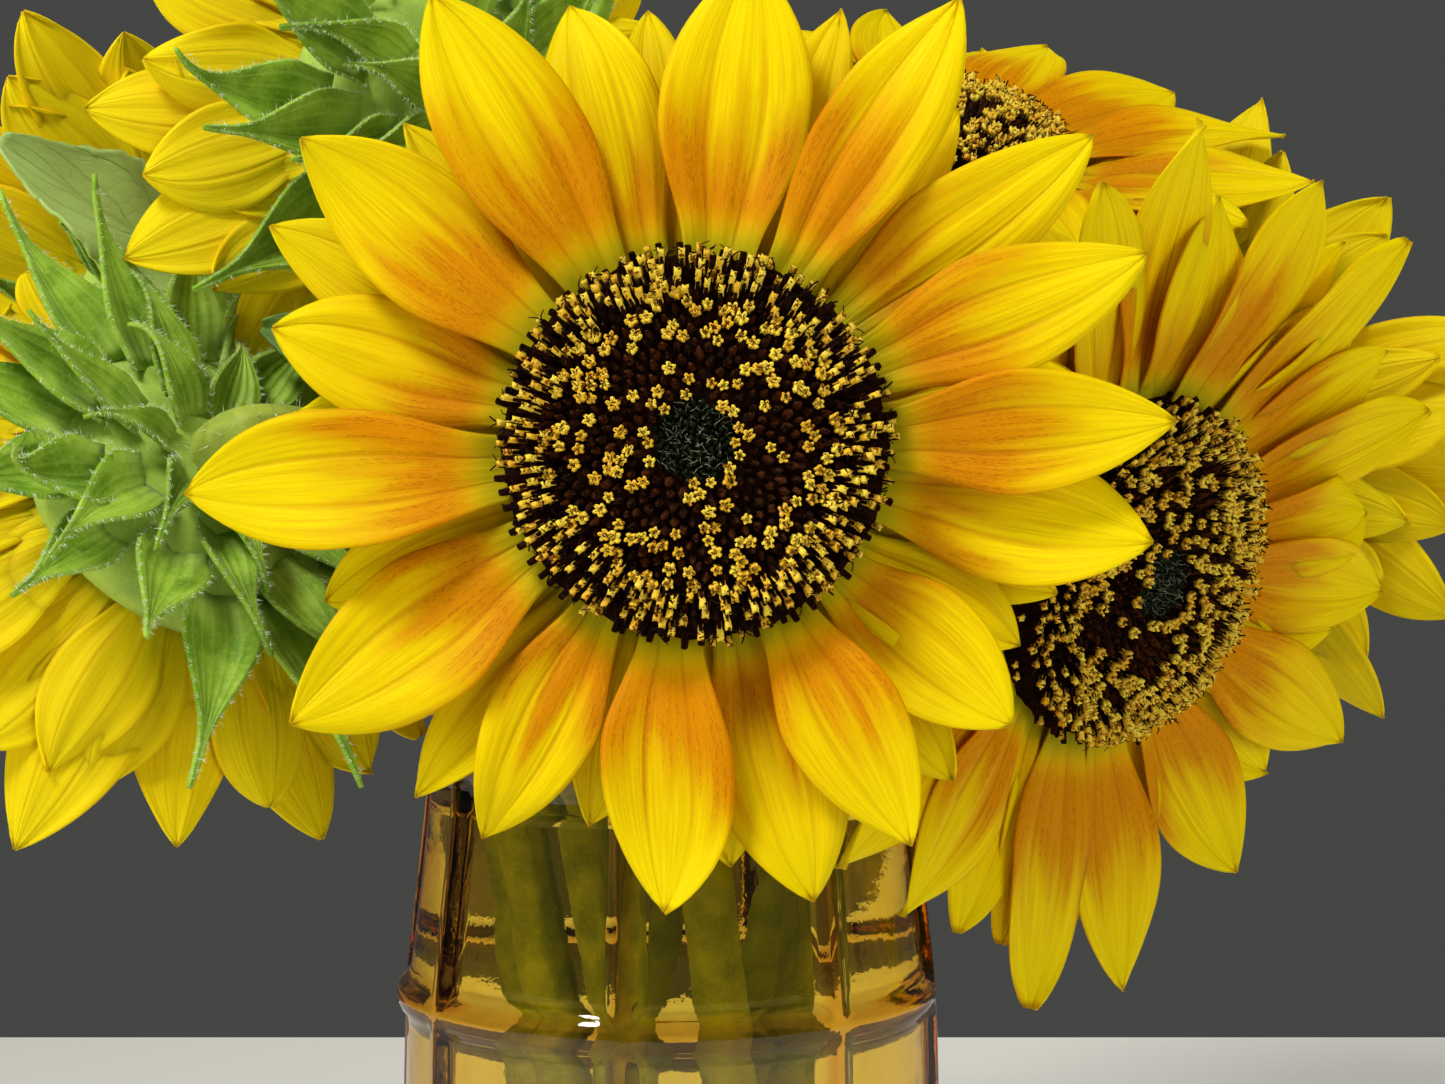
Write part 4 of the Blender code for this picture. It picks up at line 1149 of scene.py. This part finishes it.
# %% [markdown]
# ## Leaves
# A leaf blade is a grid bent along an arch, heart-shaped with a saw-toothed edge, folded along its midrib and
# waved between its side veins. The veins come from the UV map: a midrib, slanted side veins, and a fine net.
# %% Leaf material
def leaf_finish():
    m = Finish("leaf_green", Roughness=0.55, Specular_IOR_Level=0.35, **DOWNY)
    across, along = m.uv()
    off = (across * 2.0 - 1.0).math("ABSOLUTE")
    wobble = m.noise(m.place(), 90.0, 2.0)
    slant = along * 7.0 - off * 2.6 + (wobble - 0.5) * 0.8
    side_vein = (1.0 - ((slant.math("FRACT") - 0.5).math("ABSOLUTE") * 2.0)).step(0.84, 1.0)
    midrib = (1.0 - off).step(0.93, 1.0)
    net = m.cells(m.joined(across * 14.0, along * 20.0, wobble * 1.5), 1.0, "DISTANCE_TO_EDGE")
    net = 1.0 - net.step(0.0, 0.12)
    veins = midrib.math("MAXIMUM", side_vein * 0.8)
    mottle = m.noise(m.place(), 210.0, 4.0)
    tone = m.attribute("tone")
    colour = m.mix(mottle.step(0.3, 0.7), srgb(36, 78, 10), srgb(84, 128, 24))
    # painted light: a leaf's tone paints it paler, as though it stood in full light
    colour = m.mix(tone, colour, srgb(176, 202, 112))
    colour = m.mix(net * 0.15, colour, srgb(124, 160, 60))
    colour = m.mix(veins * 0.60, colour, srgb(160, 186, 96))
    height = mottle * 0.4 - veins * 0.8 - net * 0.08
    return m.set(Base_Color=colour, Roughness=mottle * 0.25 + 0.42, Normal=m.bump(height, 0.0005, 0.6))


LEAF_GREEN = leaf_finish()

# %% [markdown]
# The frame's leaf says where the blade starts, ends and how it arches: its widest spread gives the length,
# and the narrow end nearest a stem is the foot.
# %% Build leaves
LEAF_ACROSS, LEAF_ALONG = 24, 64
LEAF_THICKNESS = 0.0006
LEAF_END = 0.004         # the points this near either end give the place of that end
STALK_SHARE = 0.16       # the stalk's share of a leaf's length
LEAF_TEETH = 15.0
# how pale each leaf is painted, which is painted light (the far left leaf is painted as though it stood in
# full light), and how wide
LEAF_LIGHT_AND_WIDTH = {"leaf_far_left": (0.92, 0.034), "leaf_left": (0.10, 0.034), "leaf_lower_left": (0.15, 0.022),
          "leaf_back": (0.2, 0.040), "leaf_right": (0.25, 0.022), "leaf_back_right": (0.15, 0.038)}


def leaf_line(node):
    """Points along a plain leaf's midrib, from its foot to its tip, and the way its upper side faces."""
    points = points_of(node)
    middle = points.mean(axis=0)
    spread = np.linalg.eigh(np.cov((points - middle).T))[1]
    along, flat = spread[:, 2], spread[:, 0]
    reach = (points - middle) @ along
    low = points[reach < reach.min() + LEAF_END].mean(axis=0)
    high = points[reach > reach.max() - LEAF_END].mean(axis=0)
    if np.hypot(*low[:2]) > np.hypot(*high[:2]):
        low, high, along = high, low, -along
    reach = (points - middle) @ along
    cuts = np.linspace(reach.min(), reach.max(), 6)
    line = [low]
    for first, last in zip(cuts[1:-2], cuts[2:-1]):
        inside = points[(reach > first) & (reach < last)]
        if len(inside):
            line.append(inside.mean(axis=0))
    line.append(high)
    return [Vector(p) for p in line], Vector(flat)


def leaf(name, tone, width):
    line, flat = leaf_line(name)
    foot, tip = line[0], line[-1]
    middle = sum(line[1:-1], Vector()) / max(1, len(line) - 2) if len(line) > 2 else (foot + tip) / 2
    control = middle * 2 - (foot + tip) / 2
    if flat.y > 0:
        flat = -flat
    bm = blank("tone")
    tone_layer = bm.verts.layers.float["tone"]
    verts, across, along = flat_grid(bm, LEAF_ACROSS, LEAF_ALONG)
    for vert, t, s in zip(verts, across.tolist(), along.tolist()):
        blade = max(0.0, (s - STALK_SHARE) / (1.0 - STALK_SHARE))
        heart = math.sin(math.pi * min(1.0, blade * 0.98) ** 0.62) ** 0.8 if blade > 0 else 0.0
        teeth = 1.0 - 0.09 * ((blade * LEAF_TEETH) % 1.0) * (1.0 if 0.05 < blade < 0.92 else 0.0)
        half = max(width / 2 * heart * (teeth if abs(t) > 0.9 else 1.0), 0.0009 if s < 0.9 else 0.0002)
        point = foot * (1 - s) ** 2 + control * 2 * s * (1 - s) + tip * s * s
        way = ((control - foot) * (1 - s) + (tip - control) * s).normalized()
        side = way.cross(flat).normalized()
        normal = side.cross(way)
        fold = abs(t) ** 1.3 * half * 0.34
        wave = 0.10 * half * math.sin(blade * 24.0 - abs(t) * 4.0) * abs(t) + 0.0012 * math.sin(5 * blade + t)
        vert.co = point + side * half * t + normal * (fold + wave)
        vert[tone_layer] = tone
    piece = add_piece(name + "_blade", bm, LEAF_GREEN, "leaf_green", name)
    add_wall(piece, LEAF_THICKNESS)
    return (tip - foot).length


for name, (tone, width) in LEAF_LIGHT_AND_WIDTH.items():
    print(name, "is", round(leaf(name, tone, width), 3), "m from foot to tip")

# %% [markdown]
# ## The vase
# The glass is a profile turned round the axis: a plain bore, a thick floor, and an outside that carries a
# grid of raised, rounded bars. The spin makes the round, then every outside point that lies on a bar is
# moved outwards by the bar's height. The bars' places are the frame's: eight upright ones and three rings.
# An attribute keeps how far each point was moved, and the bars are painted a deeper amber: painted shade for
# the light that their thicker glass takes up.
# %% Vase shape
PROFILE = ((0.0, 0.0385), (0.004, 0.0425), (0.018, 0.0446), (0.060, 0.0452),
           (0.080, 0.0448), (0.108, 0.0416), (0.129, 0.0396), (0.141, 0.0392), (0.147, 0.0400))
VASE_WALL = 0.0034
BAR_COUNT = 8
BAR_FIRST = -97.4
BAR_WIDTH = 0.0050
BAR_HEIGHT = 0.0020
RING_HEIGHTS = (0.040, 0.080, 0.120)
RING_WIDTH = 0.0066
SPIN_STEPS = 240
INNER_CORNER = 0.006     # radius of the round corner between the bore and its floor
GLASS_DENSITY = 170.0    # how fast the glass takes up light, for each metre


def glass_radius(height):
    """Radius of the panes at a height: a smooth curve through the profile."""
    heights, radii = zip(*PROFILE)
    fine = np.linspace(0, heights[-1], 148)
    smooth = np.interp(fine, heights, radii)
    kernel = np.ones(9) / 9
    smooth[4:-4] = np.convolve(smooth, kernel, "valid")
    return float(np.interp(height, fine, smooth))


def bar_share(turn, height):
    """How much of a bar's height a place on the outside has."""
    spacing = FULL_TURN / BAR_COUNT
    off = (turn - math.radians(BAR_FIRST) + spacing / 2) % spacing - spacing / 2
    across = abs(off) * glass_radius(height)
    upright = math.exp(-(across / (BAR_WIDTH * 0.42)) ** 4) if 0.008 < height < 0.139 else 0.0
    ring = max(math.exp(-((height - ring) / (RING_WIDTH * 0.42)) ** 4) for ring in RING_HEIGHTS)
    return max(upright, ring)


# %% [markdown]
# Glass and water both let shadow rays straight through, with a tint. Otherwise everything inside the vase
# would stand in a black shadow. The glass also takes up light on its way, so that it is deeper where it is
# thicker.
# %% Glass material
def bright_shadows(m, tint):
    """Lets the light of the lamps through a clear material."""
    shadow = m.node("ShaderNodeLightPath", output="Is Shadow Ray")
    clear = m.node("ShaderNodeBsdfTransparent", sockets={"Color": (*tint, 1.0)})
    blend = m.node("ShaderNodeMixShader", sockets={0: shadow, 1: Value(m, m.shader.outputs[0]), 2: clear})
    m.tree.links.new(blend.socket, m.tree.nodes["Material Output"].inputs["Surface"])
    return m.material


def glass_finish():
    m = Finish("amber_glass", Base_Color=(1.0, 0.93, 0.58, 1.0), Roughness=0.02, IOR=1.50,
               Transmission_Weight=1.0)
    waves = m.noise(m.place(), 55.0, 2.0)
    seeds = m.noise(m.place(), 700.0, 2.0)
    # painted shade: the bars are painted a deeper amber for the light that their thicker glass takes up
    amber = m.mix(m.attribute("bar").step(0.15, 0.9) * 0.75, (1.0, 0.91, 0.44), (0.84, 0.42, 0.08))
    m.set(Base_Color=amber, Normal=m.bump(waves + seeds * 0.06, 0.0006, 0.35), Roughness=seeds * 0.02 + 0.01)
    sockets = {"Color": (0.985, 0.80, 0.12, 1.0), "Density": GLASS_DENSITY}
    depth = m.node("ShaderNodeVolumeAbsorption", sockets=sockets)
    m.tree.links.new(depth.socket, m.tree.nodes["Material Output"].inputs["Volume"])
    return bright_shadows(m, (1.0, 0.90, 0.60))


# %% Build the vase
def vase():
    outside = [(glass_radius(z), z) for z in np.linspace(0.0015, VASE_HEIGHT - 0.0015, 118)]
    bore_top, bore_foot = VASE_HEIGHT - 0.0012, VASE_FLOOR + INNER_CORNER
    inside = [(glass_radius(z) - VASE_WALL, z) for z in np.linspace(bore_top, bore_foot, 60)]
    lip = [(glass_radius(VASE_HEIGHT) - VASE_WALL * share, VASE_HEIGHT) for share in (0.3, 0.7)]
    corner = glass_radius(bore_foot) - VASE_WALL
    turn_in = [(corner - INNER_CORNER * (1 - math.cos(a)), VASE_FLOOR + INNER_CORNER * (1 - math.sin(a)))
               for a in np.linspace(0.2, math.pi / 2, 8)]
    foot = [(0.0, 0.0), (0.034, 0.0), (0.0372, 0.0004)]
    bm = turned(foot + outside + lip + inside + turn_in + [(0.0, VASE_FLOOR)], SPIN_STEPS)
    bar_layer = bm.verts.layers.float.new("bar")
    for vert in bm.verts:
        radius = math.hypot(vert.co.x, vert.co.y)
        if radius > glass_radius(vert.co.z) - 0.0005 and 0.001 < vert.co.z < VASE_HEIGHT - 0.001:
            share = bar_share(math.atan2(vert.co.y, vert.co.x), vert.co.z)
            vert[bar_layer] = share
            raised = 1.0 + BAR_HEIGHT * share / radius
            vert.co.x *= raised
            vert.co.y *= raised
    return add_piece("pressed_glass", bm, glass_finish(), "amber_glass", "vase")


print("the glass has", len(vase().data.polygons), "faces")

# %% [markdown]
# ## The water
# The water fills the bore. Its outside lies a hair's breadth within the glass wall, so that light goes from
# glass to water without an air film, and its top edge climbs the wall in a small meniscus.
# %% Water
WATER_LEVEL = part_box("water")[1].z
WATER_BITE = 0.0001      # the water reaches this far into the glass


def water_finish():
    m = Finish("clear_water", Base_Color=(0.97, 1.0, 0.97, 1.0), Roughness=0.0, IOR=1.33,
               Transmission_Weight=1.0)
    ripple = m.noise(m.place(), 30.0, 2.0)
    m.set(Normal=m.bump(ripple, 0.0002, 0.2))
    return bright_shadows(m, (1.0, 1.0, 1.0))


def water():
    heights = np.linspace(VASE_FLOOR + 0.007, WATER_LEVEL + 0.0012, 40)
    wall = [(glass_radius(z) - VASE_WALL + WATER_BITE, z) for z in heights]
    corner = glass_radius(VASE_FLOOR + INNER_CORNER) - VASE_WALL
    foot = VASE_FLOOR - WATER_BITE
    floor = [(0.0, foot), (corner - 0.0052, foot), (corner - 0.0018, VASE_FLOOR + 0.0018)]
    top = wall[-1][0]
    rim = [(top - 0.0008, WATER_LEVEL + 0.0005), (top - 0.0022, WATER_LEVEL + 0.0001), (0.0, WATER_LEVEL)]
    return add_piece("vase_filling", turned(floor + wall + rim, 96), water_finish(), "vase_water", "water")


water()
print("water level", round(WATER_LEVEL, 4))

# %% [markdown]
# ## Measure and finish
# The box of the finished pieces is printed, to set beside the frame's box. The finished
# pieces have to stay within the frame's box, give or take a few millimetres.
# %% Sizes and finish
low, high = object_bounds()
print("visual box", rounded(low, 4), rounded(high, 4))
